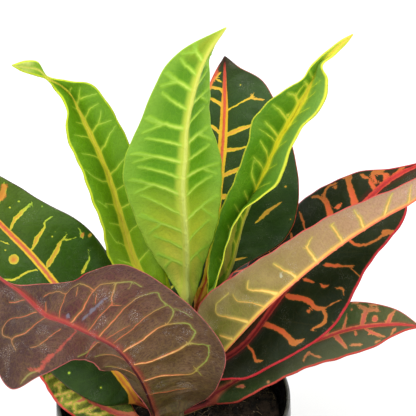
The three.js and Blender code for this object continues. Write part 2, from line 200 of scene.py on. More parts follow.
def hidden_veins(width, seed):
    """Coloured veins on both sides of a leaf that the photograph doesn't show."""
    starts = (2.2, 2.6, 3.0, 3.4, 3.8, 4.2, 4.6, 5.0, 5.5)
    return dict(
        left_veins=stains(starts, 0.45, width, seed),
        right_veins=stains(starts, 0.45, width, seed + 1),
    )


# ---- leaves ----
#
# slot: the record's material slot. upper, lower: the look of each face. camber: how much the halves
# bulge. wave: height of the edge's waves in mm, with their number and phase. crest: height of the
# midrib above the blade in mm. bend: how round the fold between the halves is in mm. ruffle, quilt:
# heights in mm. sections: (midrib, left edge, right edge) in mm; the midrib alone is stalk, or the
# tip at the end. rib: (section, half width in mm) of the coloured midrib. For each side, lines:
# where the plain side veins leave the midrib, veins: the coloured ones, and patches:
# blotches, and on some leaves painted sheen.

CROWN_RIGHT = (2.3, 2.7, 3.1, 3.45, 3.85, 4.3, 4.85, 5.4, 5.95, 6.45, 6.95, 7.45, 7.95)
CROWN_LEFT = (2.4, 2.9, 3.35, 3.8, 4.3, 4.9, 5.45, 6.0, 6.55, 7.1, 7.6)

LEAVES = {}

LEAVES["leaf_crown"] = dict(
    slot="leaf_lime", upper="young_upper", lower="young_lower",
    camber=0.1, wave=0.8, waves=4, phase=0.1, crest=0.25,
    sections=[
        [(6, -6, 131)],
        [(7, -5.2, 142)],
        [(7, -6, 157), (12, -1, 152), (-1, -3, 154)],
        [(7, -9, 178), (18, 3, 170), (-10, -2, 173)],
        [(6, -11, 202), (20.5, 4, 195), (-18, -2, 197)],
        [(7, -11, 215.5), (21, 4.5, 208), (-17, -1, 210)],
        [(8, -11, 229), (16, 4, 224), (-13, 0, 221)],
        [(11, -10, 244), (17, 2, 239), (-4, -1, 242.5)],
        [(15, -9, 255), (16.5, -3, 255), (5, -3, 256.5)],
        [(22, -8, 268)],
    ],
    rib=[(1, 1.8), (2, 2.2), (4, 2.3), (7, 1.8), (8, 1.2), (9, 0.4)],
    right_veins=pinnate(CROWN_RIGHT, 0.35, 0.9, 0.75, 0.22, fork=0.2),
    left_veins=pinnate(CROWN_LEFT, 0.45, 0.92, 0.7, 0.22, fork=0.2),
)

LEAVES["leaf_lime_left"] = dict(
    slot="leaf_lime", upper="young_upper", lower="young_lower",
    camber=0.08, wave=0.8, waves=4, phase=0.4, crest=0.6, bend=3.4,
    sections=[
        [(0.3, 2.2, 129)],
        [(-1, 3, 139)],
        [(-14, 8, 152), (-24, 0, 158), (-3, 0, 166)],
        [(-22, 14, 177), (-29, 1, 181), (-7, 3, 188)],
        [(-27, 19, 194), (-34, 6, 198), (-13, 8, 206)],
        [(-34, 23, 212), (-41.5, 11, 214), (-22, 13, 223)],
        [(-40, 24, 225), (-41, 15, 226), (-31, 16, 234.5)],
        [(-43, 21, 232), (-45.5, 17, 232), (-40.5, 17, 236)],
        [(-47.5, 15, 237.5), (-47.8, 14.5, 237), (-47.2, 15.5, 238.2)],
        [(-50.5, 12, 242.5), (-50.5, 11, 240), (-50, 12.5, 245.5)],
        [(-54.5, 9, 245), (-55.5, 8.5, 243), (-54, 9.5, 247.5)],
        [(-59, 6, 247)],
    ],
    rib=[(1, 2.4), (2, 4.2), (4, 3.8), (5, 3.0), (6, 1.9), (7, 0.9), (8, 0.4), (11, 0.25)],
    right_veins=pinnate((2.1, 2.6, 3.05, 3.45), 0.15, 0.85, 0.42, 0.12) + [
        [(3.85, 0.02, 0.45), (3.95, 0.4, 0.3), (4.1, 0.8, 0.15)],
        [(4.4, 0.02, 0.5), (4.5, 0.4, 0.35), (4.65, 0.65, 0.2), (4.75, 0.9, 0.1)],
        [(4.8, 0.02, 0.55), (4.9, 0.3, 0.35), (5.0, 0.55, 0.25), (5.2, 0.75, 0.12)],
        [(4.95, 0.5, 0.2), (4.9, 0.85, 0.1)],
        [(5.2, 0.02, 0.6), (5.3, 0.3, 0.35), (5.4, 0.5, 0.25), (5.4, 0.8, 0.1)],
        [(5.7, 0.02, 0.7), (5.8, 0.3, 0.5), (5.95, 0.45, 0.3), (6.15, 0.7, 0.12)],
        [(5.8, 0.38, 0.3), (5.75, 0.65, 0.2), (5.65, 0.9, 0.12)],
        [(6.35, 0.02, 0.3), (6.5, 0.5, 0.2)],
    ],
    left_veins=pinnate((2.05, 2.4, 2.75, 3.15), 0.12, 0.7, 0.45, 0.18) + [
        [(2.5, 0.6, 0.2), (2.75, 0.85, 0.1)],
        [(3.2, 0.62, 0.2), (3.4, 0.85, 0.1)],
        [(3.72, 0.02, 0.45), (3.8, 0.45, 0.3), (3.95, 0.7, 0.2), (4.15, 0.9, 0.1)],
        [(4.25, 0.02, 0.45), (4.4, 0.45, 0.25), (4.5, 0.75, 0.12)],
        [(4.7, 0.02, 0.4), (4.85, 0.45, 0.22), (4.95, 0.72, 0.1)],
        [(5.05, 0.02, 0.3), (5.25, 0.5, 0.12)],
        [(5.5, 0.02, 0.25), (5.75, 0.5, 0.1)],
    ],
)

LEAVES["leaf_lime_right"] = dict(
    slot="leaf_lime", upper="bright_upper", lower="young_lower",
    camber=0.1, wave=0.8, waves=4, phase=0.7, crest=0.6, bend=3.4,
    sections=[
        [(10.6, 0.6, 126)],
        [(15, 4, 135)],
        [(22, 6, 143), (15, 1, 149), (18, -8, 153)],
        [(27, 10, 151), (16, 4, 158), (22, -7, 166)],
        [(32, 18, 170), (21, 8, 180), (29, 1, 182)],
        [(39, 23, 188), (27, 12, 198), (43, 8, 193)],
        [(44, 26, 200), (32, 14, 212), (48, 12, 204)],
        [(49, 28, 210), (34, 16, 219), (54, 16, 214)],
        [(54, 29, 221), (41, 18, 228), (61, 17, 224)],
        [(58, 29, 232), (53, 21, 235.5), (63, 20, 234)],
        [(61, 27, 238.5), (58, 24, 240.5), (61.5, 21, 239.5)],
        [(64.5, 25, 244), (62.5, 24, 245.5), (65.5, 23, 243.5)],
        [(68.5, 23, 249.5), (67.2, 23, 250), (70, 23, 248.5)],
        [(72, 22, 253)],
    ],
    rib=[(1, 1.6), (3, 2.8), (5, 4.4), (7, 5.0), (8, 4.4), (9, 2.4), (10, 0.9), (13, 0.6)],
    left_veins=[
        [(9.0, 0.02, 0.6), (9.15, 0.5, 0.4), (9.3, 0.8, 0.25)],
        [(8.55, 0.02, 0.8), (8.75, 0.45, 0.5), (8.85, 0.75, 0.3)],
        [(7.85, 0.02, 1.3), (8.05, 0.25, 0.8), (8.25, 0.5, 0.5), (8.3, 0.8, 0.3)],
        [(8.2, 0.45, 0.5), (8.5, 0.55, 0.35), (8.7, 0.6, 0.2)],
        [(7.1, 0.02, 1.0), (7.35, 0.3, 0.55), (7.65, 0.65, 0.3), (7.75, 0.85, 0.15)],
        [(7.5, 0.3, 0.8)],
        [(6.3, 0.02, 0.9), (6.65, 0.35, 0.5), (7.05, 0.75, 0.2)],
        [(6.15, 0.02, 0.35), (6.4, 0.4, 0.22), (6.6, 0.8, 0.1)],
        [(5.4, 0.02, 0.6), (5.75, 0.35, 0.4), (6.05, 0.7, 0.2)],
        [(5.1, 0.02, 0.45), (5.35, 0.4, 0.3), (5.5, 0.75, 0.12)],
        [(4.6, 0.02, 0.7), (4.85, 0.35, 0.45), (5.05, 0.6, 0.25), (5.4, 0.7, 0.12)],
        [(4.25, 0.02, 0.6), (4.45, 0.35, 0.35), (4.6, 0.6, 0.15)],
        [(3.9, 0.02, 0.4), (4.1, 0.4, 0.25), (4.25, 0.7, 0.1)],
        [(3.4, 0.02, 0.4), (3.6, 0.4, 0.25), (3.8, 0.7, 0.1)],
        [(2.8, 0.02, 0.35), (3.0, 0.4, 0.2), (3.15, 0.7, 0.1)],
    ],
    right_veins=pinnate((2.6, 3.1, 3.6, 4.1, 4.6, 5.2), 0.4, 0.75, 0.3, 0.1)
    + pinnate((5.9, 6.7, 7.3, 7.9, 8.4), 0.55, 0.62, 0.26, 0.1),
)

LEAVES["leaf_back_centre"] = dict(
    slot="leaf_green", upper="amber_veined", lower="green_lower",
    camber=0.1, wave=1, waves=4, phase=0.2,
    left_patches=[[(6.7, 1.0, 1.0), (7.3, 1.0, 1.2), (7.9, 0.9, 1.2)], [(4.2, 0.9, 1.0)]],
    sections=[
        [(7.5, 3.4, 121)],
        [(11, 8, 133)],
        [(15, 16, 141), (4, 14, 144), (29, 15, 147)],
        [(18, 28, 153), (3, 25, 155), (49, 22, 158)],
        [(20, 41, 169), (1, 38, 170), (55, 28, 175)],
        [(22, 54, 185), (4, 50, 187), (52, 43, 192)],
        [(23, 64, 199), (10, 60, 199), (46, 55, 206)],
        [(23, 70, 208), (15, 67, 208), (39.5, 65, 213)],
        [(23, 73, 215), (19, 72, 215), (30, 71, 217)],
        [(23, 74, 221)],
    ],
    rib=[(1, 2.2), (3, 2.2), (4.5, 2.4), (5, 2.6), (6, 2.2), (7, 1.1), (8, 0.6), (9, 0.2)],
    left_lines=(2.4, 3.2, 4.0), right_lines=(2.4, 2.9, 6.6, 7.2),
    right_veins=[
        [(6.0, 0.1, 0.3), (6.1, 0.25, 0.35), (6.2, 0.4, 0.35), (6.35, 0.6, 0.5), (6.45, 0.65, 0.25)],
        [(6.3, 0.6, 0.4), (6.2, 0.8, 0.4)],
        [(5.3, 0.05, 1.15), (5.4, 0.25, 1.0), (5.5, 0.5, 0.7)],
        [(4.95, 0.05, 0.95), (4.95, 0.2, 0.7), (5.0, 0.4, 0.3)],
        [(4.4, 0.05, 1.15), (4.5, 0.25, 0.9), (4.55, 0.4, 0.45)],
        [(3.95, 0.05, 1.15), (3.95, 0.2, 0.9), (4.05, 0.35, 0.5)],
        [(3.4, 0.55, 0.25), (3.6, 0.65, 0.85), (3.7, 0.7, 0.65), (3.85, 0.8, 0.35)],
        [(2.35, 0.55, 0.9), (2.4, 0.75, 0.35)],
        [(6.95, 0.45, 0.35)],
        [(5.75, 0.55, 0.25)],
        [(4.2, 0.85, 0.55)],
        [(3.5, 0.95, 0.4)],
    ],
    left_veins=[
        [(4.8, 0.05, 0.7), (5.0, 0.5, 0.5), (5.1, 0.8, 0.2)],
        [(5.4, 0.15, 0.8), (5.55, 0.35, 0.65), (5.6, 0.45, 0.55), (5.75, 0.8, 0.3)],
        [(6.1, 0.05, 1.0), (6.25, 0.2, 0.8), (6.5, 0.6, 0.65), (6.6, 0.95, 0.6)],
        [(6.35, 0.85, 0.5), (6.15, 0.7, 0.35)],
        [(6.7, 0.05, 0.9), (6.9, 0.25, 0.65), (7.05, 0.7, 0.6), (7.1, 0.95, 0.7)],
        [(6.6, 0.95, 0.6), (6.9, 0.95, 0.5), (7.2, 0.95, 0.6), (7.5, 0.9, 0.6)],
        [(7.8, 0.5, 0.35), (7.6, 0.75, 0.5), (7.5, 0.85, 0.65)],
        [(7.3, 0.3, 0.4), (7.45, 0.6, 0.4)],
    ],
)

LEAVES["leaf_left"] = dict(
    slot="leaf_green", upper="yellow_veined", lower="green_lower",
    camber=0.1, wave=1.2, waves=4, phase=0.3,
    left_patches=[[(5.25, 0.25, 0.9)]],
    right_patches=[[(4.8, 0.86, 0.8)], [(4.7, 0.95, 0.8)], [(6.5, 0.5, 1.3), (6.7, 0.8, 1.3)]],
    sections=[
        [(-5.2, -8, 86)],
        [(-16, -10, 93)],
        [(-22, -10, 105), (-31, -22, 102), (-15, -5, 113)],
        [(-32, -8, 122), (-45, -27, 119), (-17, 0, 136)],
        [(-44, -4, 144), (-60, -25, 137), (-25, 6, 157)],
        [(-57, 0, 163), (-76, -14, 151), (-37, 8, 175)],
        [(-70, 3, 178), (-87, -10, 169), (-54.5, 8, 186.5)],
        [(-81, 4, 194), (-92, -5, 189), (-69.5, 7, 199)],
        [(-91, 3, 214)],
    ],
    rib=[(1, 1.9), (2, 1.9), (4, 1.7), (5.5, 1.4), (6.5, 1.0), (8, 0.3)],
    left_lines=(2.4, 2.9, 3.4), right_lines=(2.4, 2.9),
    right_veins=[
        [(6.5, 0.5, 1.0), (6.65, 0.75, 1.0), (6.75, 0.85, 0.4)],
        [(6.25, 0.05, 0.4), (6.35, 0.25, 0.4), (6.5, 0.45, 0.4)],
        [(5.75, 0.05, 0.3), (5.9, 0.3, 0.7), (5.95, 0.5, 0.8), (6.0, 0.8, 0.4)],
        [(5.95, 0.8, 0.2), (6.0, 0.85, 0.15)],
        [(5.15, 0.05, 0.25), (5.2, 0.15, 0.6), (5.3, 0.3, 0.85), (5.4, 0.55, 0.4),
         (5.5, 0.65, 0.3), (5.5, 0.8, 0.15)],
        [(4.7, 0.05, 0.35), (4.75, 0.15, 0.95), (4.85, 0.35, 1.05), (4.95, 0.5, 0.7), (5.0, 0.65, 0.3)],
        [(4.95, 0.6, 0.2), (4.9, 0.65, 0.15), (4.85, 0.75, 0.1)],
        [(4.25, 0.5, 0.75), (4.3, 0.6, 0.55), (4.35, 0.7, 0.3), (4.45, 0.75, 0.15)],
        [(3.4, 0.05, 0.8), (3.5, 0.4, 0.6), (3.6, 0.75, 0.3)],
        [(4.95, 0.9, 0.15), (4.8, 0.85, 0.8)],
        [(6.2, 0.7, 0.45)],
        [(6.2, 0.45, 0.4)],
        [(5.8, 0.9, 0.4)],
        [(5.15, 0.5, 0.45)],
        [(5.2, 0.6, 0.2)],
        [(5.05, 0.7, 0.25)],
        [(4.7, 0.95, 0.8)],
        [(4.5, 0.8, 0.3)],
        [(4.55, 0.05, 0.65)],
    ],
    left_veins=[
        [(5.25, 0.25, 2.1)],
        [(4.8, 0.1, 0.25), (4.9, 0.25, 0.35), (4.95, 0.45, 0.4), (5.05, 0.55, 0.45), (5.2, 0.7, 0.2)],
        [(5.55, 0.15, 0.15), (5.7, 0.2, 0.15)],
        [(5.5, 0.25, 0.4)],
        [(4.2, 0.05, 0.6), (4.4, 0.4, 0.6), (4.55, 0.75, 0.3)],
        [(6.1, 0.05, 0.5), (6.2, 0.5, 0.45), (6.3, 0.85, 0.2)],
        [(6.6, 0.05, 0.4), (6.7, 0.5, 0.35), (6.8, 0.8, 0.15)],
        [(3.05, 0.8, 0.5)],
        [(2.35, 0.6, 0.45)],
    ],
)

LEAVES["leaf_front_left"] = dict(
    slot="leaf_purple", upper="red_veined", lower="purple_lower",
    camber=0.12, wave=1.2, waves=4, phase=0.6, ruffle=0.1, quilt=1.1,
    # Its left patches are a painted blue-grey sheen; its right patches are reddish blotches.
    left_patches=[[(6.0, 0.12, 0.6), (5.85, 0.3, 0.9), (5.8, 0.45, 0.5)], [(6.7, 0.1, 0.8)]],
    right_patches=[
        [(6.3, 0.02, 0.6), (6.0, 0.2, 0.5), (6.05, 0.4, 0.5), (6.35, 0.7, 0.5), (6.7, 0.8, 0.6),
         (7.05, 0.9, 0.6), (7.35, 0.85, 0.5)],
        [(5.4, 0.3, 0.3), (5.4, 0.9, 0.4)],
    ],
    sections=[
        [(-1.5, -12, 84)],
        [(-6.5, -17, 87)],
        [(-8, -20, 96), (12.5, -18, 99), (-11, -20, 100)],
        [(-11, -26, 114), (20, -24, 117), (-21, -22, 117)],
        [(-14, -31, 127), (22, -30, 138), (-28, -24, 123)],
        [(-21, -40, 147), (6, -37, 169), (-31, -32, 133)],
        [(-33, -50, 164), (-13, -43, 188), (-39, -42, 141)],
        [(-39, -54, 171), (-27, -48, 189), (-50.5, -47, 140)],
        [(-44, -58, 177), (-36, -52, 188), (-61.5, -52, 136)],
        [(-52, -62, 191), (-52, -60, 192), (-65, -58, 161.5)],
        [(-61, -62, 200)],
    ],
    rib=[(1, 1.0), (2, 0.5), (3, 0.6), (4, 0.75), (5, 0.9), (6, 1.1), (8, 1.0), (9, 0.7), (10, 0.3)],
    left_lines=(2.2, 2.7), right_lines=(2.3, 2.8, 3.4),
    left_veins=[
        [(8.25, 0.45, 0.15), (8.15, 0.6, 0.15), (7.95, 0.65, 0.15), (7.45, 0.55, 0.2),
         (7.35, 0.65, 0.15), (7.05, 0.7, 0.2), (6.8, 0.65, 0.2), (6.2, 0.5, 0.2)],
        [(7.45, 0.55, 0.2), (7.3, 0.35, 0.15), (7.25, 0.2, 0.15), (7.15, 0.05, 0.2)],
        [(8.1, 0.25, 0.15), (8.0, 0.1, 0.2)],
        [(6.95, 0.6, 0.15), (6.8, 0.45, 0.15)],
        [(6.4, 0.05, 0.35), (6.3, 0.15, 0.35), (6.2, 0.25, 0.3), (6.2, 0.5, 0.2), (6.15, 0.6, 0.15)],
        [(5.75, 0.05, 0.2), (5.7, 0.15, 0.2), (5.65, 0.4, 0.2), (5.75, 0.5, 0.25), (5.9, 0.7, 0.3)],
        [(5.65, 0.4, 0.2), (5.5, 0.45, 0.15)],
        [(6.15, 0.6, 0.15), (5.9, 0.7, 0.25), (5.7, 0.8, 0.25), (5.55, 0.8, 0.2)],
        [(6.05, 0.45, 0.15), (5.95, 0.35, 0.15)],
        [(5.5, 0.0, 0.35), (5.4, 0.2, 0.3), (5.4, 0.4, 0.25), (5.4, 0.6, 0.2), (5.35, 0.75, 0.2),
         (5.3, 0.85, 0.25), (5.15, 0.8, 0.25), (5.0, 0.8, 0.25), (4.9, 0.8, 0.25),
         (4.8, 0.75, 0.25), (4.65, 0.6, 0.25)],
        [(5.1, 0.05, 0.2), (5.0, 0.25, 0.2), (5.0, 0.5, 0.2), (5.0, 0.8, 0.2)],
        [(5.3, 0.05, 0.15), (5.2, 0.15, 0.15), (5.1, 0.3, 0.1)],
        [(4.75, 0.05, 0.5), (4.65, 0.25, 0.5), (4.65, 0.4, 0.45), (4.65, 0.6, 0.3),
         (4.55, 0.8, 0.35), (4.45, 0.8, 0.3), (4.35, 0.8, 0.3), (4.15, 0.65, 0.3)],
        [(4.25, 0.05, 0.5), (4.05, 0.2, 0.55), (4.05, 0.45, 0.55), (4.15, 0.65, 0.45),
         (4.1, 0.75, 0.25), (4.05, 0.85, 0.2)],
        [(3.4, 0.05, 0.55), (3.25, 0.3, 0.5), (3.15, 0.6, 0.3), (3.4, 0.7, 0.25),
         (3.7, 0.8, 0.2), (4.05, 0.85, 0.2)],
        [(3.4, 0.65, 0.15), (3.15, 0.75, 0.15)],
        [(2.7, 0.05, 0.2), (2.6, 0.35, 0.2), (2.6, 0.65, 0.15)],
        [(4.9, 0.8, 0.1), (4.85, 0.85, 0.15), (4.65, 0.9, 0.1)],
        [(5.7, 0.8, 0.15), (5.65, 0.7, 0.1)],
    ],
    right_veins=[
        [(8.25, 0.05, 0.3), (8.45, 0.25, 0.2), (8.75, 0.45, 0.15), (8.85, 0.6, 0.2),
         (8.8, 0.7, 0.2), (8.45, 0.6, 0.25)],
        [(7.9, 0.0, 0.2), (8.0, 0.2, 0.2), (8.15, 0.4, 0.3), (8.45, 0.6, 0.3), (8.2, 0.65, 0.15)],
        [(6.75, 0.2, 0.2), (6.95, 0.4, 0.15), (7.25, 0.55, 0.15), (7.55, 0.55, 0.15)],
        [(7.05, 0.9, 0.25), (7.4, 0.9, 0.2), (7.6, 0.95, 0.15)],
        [(5.35, 0.2, 0.3), (5.4, 0.7, 0.3), (5.7, 0.9, 0.25)],
        [(4.5, 0.05, 0.3), (4.8, 0.5, 0.3), (5.1, 0.8, 0.2)],
        [(3.7, 0.05, 0.4), (3.9, 0.4, 0.4), (4.3, 0.8, 0.3)],
        [(8.7, 0.05, 0.2), (8.85, 0.2, 0.2), (9.0, 0.3, 0.2)],
    ],
)

LEAVES["leaf_low_left"] = dict(
    slot="leaf_mottled", upper="mottled_upper", lower="green_lower",
    camber=0.1, wave=0.8, waves=3, phase=0.1,
    sections=[
        [(-4.6, -11, 83)],
        [(-15, -13, 85)],
        [(-27, -13, 90), (-31, -20, 87), (-22, -6, 96)],
        [(-38, -15, 101), (-45, -20, 95.5), (-32, -6, 107)],
        [(-48, -14, 112), (-52, -22, 109), (-41, -5, 116)],
        [(-56, -14, 123), (-56, -21, 118.5), (-52, -8, 126)],
        [(-62, -15, 131)],
    ],
    rib=[(1, 1.5), (3, 1.1), (5, 0.6), (6, 0.3)],
    left_veins=stains((2.1, 2.5, 2.9, 3.3, 3.7, 4.1, 4.5, 4.9), 0.5, 0.9, 11),
    right_veins=stains((2.2, 2.6, 3.0, 3.4, 3.8, 4.2, 4.6, 5.0), 0.5, 0.9, 12),
)

LEAVES["leaf_right_upper"] = dict(
    slot="leaf_tan", upper="red_veined", lower="tan_lower",
    camber=0.1, wave=0.8, waves=3, phase=0.2,
    # Its patch is pale grey: dust with a painted sheen.
    right_patches=[[(3.7, 0.25, 0.6), (3.75, 0.32, 0.5)]],
    sections=[
        [(8, -6.2, 102)],
        [(17, -4, 107)],
        [(23, -8, 119), (19, 4, 118), (11, -14, 145)],
        [(38, -12, 143), (31, 6, 139), (25, -18, 166)],
        [(53, -14, 162), (48, 6, 157), (42, -20, 181)],
        [(68, -15, 178), (65, 4, 172), (59, -20, 193)],
        [(83, -15, 190), (81, 0, 187), (76, -19, 203)],
        [(96, -15, 199), (96, -4, 196), (91, -18, 210)],
        [(108, -15, 211), (108, -10, 210), (105, -16, 217)],
        [(116, -15, 222)],
    ],
    rib=[(1, 1.5), (2, 1.2), (5, 1.3), (7, 1.0), (9, 0.3)],
    right_veins=[
        [(7.4, 0.02, 0.4), (7.5, 0.5, 0.2)],
        [(6.8, 0.02, 0.5), (6.95, 0.4, 0.3), (7.05, 0.7, 0.15)],
        [(6.1, 0.0, 0.55), (6.3, 0.3, 0.45), (6.55, 0.75, 0.2)],
        [(5.6, 0.0, 0.6), (5.65, 0.3, 0.45), (5.65, 0.45, 0.35), (5.65, 0.75, 0.15)],
        [(5.05, 0.0, 0.6), (5.1, 0.1, 0.45), (5.1, 0.3, 0.4), (5.1, 0.6, 0.35), (5.15, 0.65, 0.2)],
        [(4.45, 0.0, 0.7), (4.45, 0.2, 0.6), (4.45, 0.45, 0.5), (4.6, 0.6, 0.25), (4.65, 0.62, 0.15)],
        [(4.45, 0.45, 0.2), (4.4, 0.5, 0.15)],
        [(3.95, 0.0, 0.8), (3.9, 0.2, 0.55), (3.8, 0.4, 0.35), (3.75, 0.6, 0.3)],
        [(3.45, 0.05, 1.0), (3.25, 0.3, 0.6), (3.05, 0.5, 0.35), (3.15, 0.65, 0.25)],
        [(3.1, 0.05, 0.35), (2.95, 0.25, 0.2), (2.75, 0.45, 0.2), (2.75, 0.6, 0.15)],
        [(2.7, 0.05, 0.85), (2.5, 0.3, 0.5), (2.3, 0.55, 0.25), (2.4, 0.7, 0.2), (2.7, 0.7, 0.2)],
        [(2.3, 0.05, 0.65), (2.1, 0.25, 0.35)],
        [(4.85, 0.05, 0.45), (4.9, 0.0, 0.45)],
    ],
    left_veins=stains((2.3, 2.8, 3.3, 3.8, 4.4, 5.0, 5.6, 6.2, 6.8), 0.35, 0.9, 21),
)

LEAVES["leaf_right"] = dict(
    slot="leaf_green", upper="red_veined", lower="green_lower",
    camber=0.08, wave=1, waves=4, phase=0.5,
    sections=[
        [(8, -2, 98)],
        [(21, 2, 105), (18.5, 6, 107.5), (26, -9, 104.5)],
        [(34, 6, 115), (24, 18, 119), (39, -8, 108)],
        [(49, 14, 135), (36, 32, 142), (67, -4, 127)],
        [(69, 22, 157), (55, 43, 163), (82, 2, 154)],
        [(88, 28, 178), (79, 37, 182), (97, 12, 173)],
        [(97, 29, 186), (94, 31, 188), (101, 20, 181)],
        [(109.5, 28, 193.5)],
    ],
    rib=[(1, 1.6), (2, 1.4), (4, 1.3), (5, 1.4), (6, 1.3), (7, 0.3)],
    left_lines=(2.3, 2.8), right_lines=(2.6, 3.8),
    left_veins=[
        [(3.05, 0.05, 0.8), (3.1, 0.4, 0.5), (3.3, 0.8, 0.3)],
        [(3.85, 0.05, 0.5), (3.85, 0.45, 0.35), (3.9, 0.6, 0.6), (3.95, 0.8, 0.35)],
        [(3.6, 0.5, 0.45), (3.65, 0.6, 0.35)],
        [(4.2, 0.05, 1.4), (4.25, 0.3, 1.5), (4.35, 0.6, 1.2), (4.35, 0.7, 0.9), (4.5, 0.9, 0.55),
         (4.65, 0.9, 0.45)],
        [(4.35, 0.7, 0.6), (4.3, 0.85, 0.55), (4.25, 0.9, 0.6)],
        [(4.55, 0.02, 1.7), (4.6, 0.15, 1.7), (4.75, 0.55, 1.2), (4.85, 0.9, 1.1), (4.9, 1.0, 1.5)],
        [(4.85, 0.8, 0.3), (4.9, 0.85, 0.5)],
        [(5.0, 0.05, 0.95), (5.1, 0.4, 0.75), (5.15, 0.55, 0.2), (5.1, 0.65, 0.8), (5.1, 0.8, 0.65)],
        [(5.45, 0.0, 1.7), (5.65, 0.45, 1.05)],
        [(5.85, 0.15, 0.65), (6.1, 0.4, 0.65), (6.3, 1.0, 0.85)],
        [(5.2, 0.3, 0.5), (5.3, 0.6, 0.8), (5.45, 0.85, 0.9)],
        [(5.7, 0.5, 0.5), (5.5, 0.75, 0.8), (5.75, 0.95, 0.9)],
        [(4.6, 0.8, 0.9)],
        [(4.4, 0.35, 0.85), (4.45, 0.35, 0.8)],
        [(5.25, 0.15, 0.5)],
        [(4.8, 0.95, 0.5)],
    ],
    right_veins=[
        [(1.9, 0.05, 0.5), (2.0, 0.4, 0.55), (2.0, 0.65, 0.65), (2.1, 0.75, 0.25)],
        [(2.4, 0.0, 1.1), (2.55, 0.35, 0.9), (2.6, 0.6, 0.95), (2.6, 0.8, 1.0), (2.7, 0.85, 0.55)],
        [(3.0, 0.1, 1.2), (3.15, 0.4, 1.15), (3.15, 0.6, 0.95), (3.2, 0.7, 0.75), (3.15, 0.8, 0.6),
         (3.05, 0.85, 0.7), (2.9, 0.8, 0.25), (2.9, 0.85, 0.15)],
        [(3.2, 0.7, 0.45), (3.3, 0.75, 0.2), (3.45, 0.85, 0.2)],
        [(3.35, 0.15, 0.85), (3.4, 0.3, 0.35)],
        [(3.45, 0.45, 0.45), (3.45, 0.5, 0.75), (3.5, 0.55, 0.2)],
        [(3.55, 0.7, 0.35), (3.6, 0.8, 0.55), (3.55, 0.85, 0.2)],
        [(3.7, 0.3, 0.95), (3.8, 0.5, 0.75), (3.85, 0.6, 0.4), (3.95, 0.75, 0.4)],
        [(3.9, 0.75, 0.15), (3.9, 0.95, 0.25)],
        [(4.2, 0.05, 0.6), (4.2, 0.5, 0.65), (4.3, 0.7, 0.65), (4.45, 0.8, 0.5), (4.6, 0.85, 0.65),
         (4.65, 0.85, 1.35), (4.75, 1.0, 0.65)],
        [(3.05, 0.55, 0.8)],
        [(3.15, 0.95, 0.35)],
    ],
)

LEAVES["leaf_low_right"] = dict(
    slot="leaf_green", upper="rose_veined", lower="green_lower",
    camber=0.1, wave=0.8, waves=3, phase=0.8,
    sections=[
        [(6.9, -5, 84)],
        [(16, -4, 87)],
        [(24, -2, 95), (22, 8, 95), (29, -10, 93)],
        [(39, 4, 99), (33, 16, 104), (43, -8, 100)],
        [(57, 10, 106), (53, 22, 114), (59.5, -4, 108)],
        [(74, 14, 112), (73, 24, 121), (76, 0, 110)],
        [(86, 15, 115), (85, 22, 124), (87.5, 4, 111)],
        [(99, 15, 116), (100, 19, 122), (99, 9, 115.5)],
        [(111, 14, 116)],
    ],
    rib=[(1, 1.4), (3, 1.2), (5, 1.2), (7, 1.0), (8, 0.4)],
    left_veins=[
        [(5.9, 0.05, 1.25), (6.0, 0.4, 1.1), (6.1, 0.65, 1.0), (5.95, 0.8, 0.75), (5.9, 0.85, 0.6)],
        [(6.1, 0.6, 0.65), (6.3, 0.7, 0.65), (6.45, 0.7, 0.6)],
        [(6.75, 0.05, 1.1), (6.8, 0.2, 1.05), (6.85, 0.55, 0.9), (6.95, 0.85, 0.65)],
        [(6.35, 0.3, 1.45)],
        [(5.65, 0.95, 0.35), (5.8, 0.95, 0.5)],
        [(6.25, 0.9, 0.45), (6.4, 0.95, 0.55)],
        [(4.25, 0.45, 0.55)],
    ] + stains((2.2, 2.7, 3.2, 3.7, 4.7, 5.2), 0.3, 0.8, 31),
    right_veins=[
        [(2.25, 0.35, 0.55), (2.35, 0.45, 1.0)],
        [(3.0, 0.85, 0.75)],
        [(4.15, 0.5, 0.65), (4.0, 0.65, 0.55), (3.95, 0.75, 0.25)],
        [(4.15, 0.5, 0.25), (4.25, 0.7, 0.55), (4.35, 0.8, 0.45)],
        [(4.95, 0.05, 1.3), (4.95, 0.25, 1.35), (5.05, 0.55, 0.95), (5.1, 0.7, 0.95)],
        [(5.35, 0.7, 0.65), (5.65, 0.75, 0.55)],
        [(5.6, 0.15, 0.45), (5.6, 0.3, 0.65)],
        [(6.0, 0.1, 0.65), (6.25, 0.45, 0.9), (6.55, 0.75, 0.55)],
        [(6.2, 0.3, 0.45), (6.1, 0.4, 0.65)],
        [(6.25, 0.85, 0.4), (6.4, 0.85, 0.2)],
        [(7.0, 0.55, 0.55), (6.85, 0.8, 0.45)],
    ],
)

LEAVES["leaf_back_left"] = dict(
    slot="leaf_green", upper="yellow_veined", lower="green_lower",
    camber=0.08, wave=1.2, waves=4, phase=0.3,
    sections=[
        [(-0.2, 1.3, 112)],
        [(-3, 8, 118)],
        [(-6, 18, 125), (-16, 14, 127), (4, 21, 127)],
        [(-11, 32, 129), (-32, 24, 132), (12, 40, 135)],
        [(-18, 52, 130), (-37, 44, 134), (6, 60, 137)],
        [(-24, 71, 119), (-37, 64, 121), (-5, 79, 123)],
        [(-28, 86, 108), (-36, 82, 109), (-17, 90, 110)],
        [(-30, 95, 99)],
    ],
    rib=[(1, 1.6), (3, 1.6), (5, 1.2), (7, 0.3)],
    **hidden_veins(0.9, 41),
)

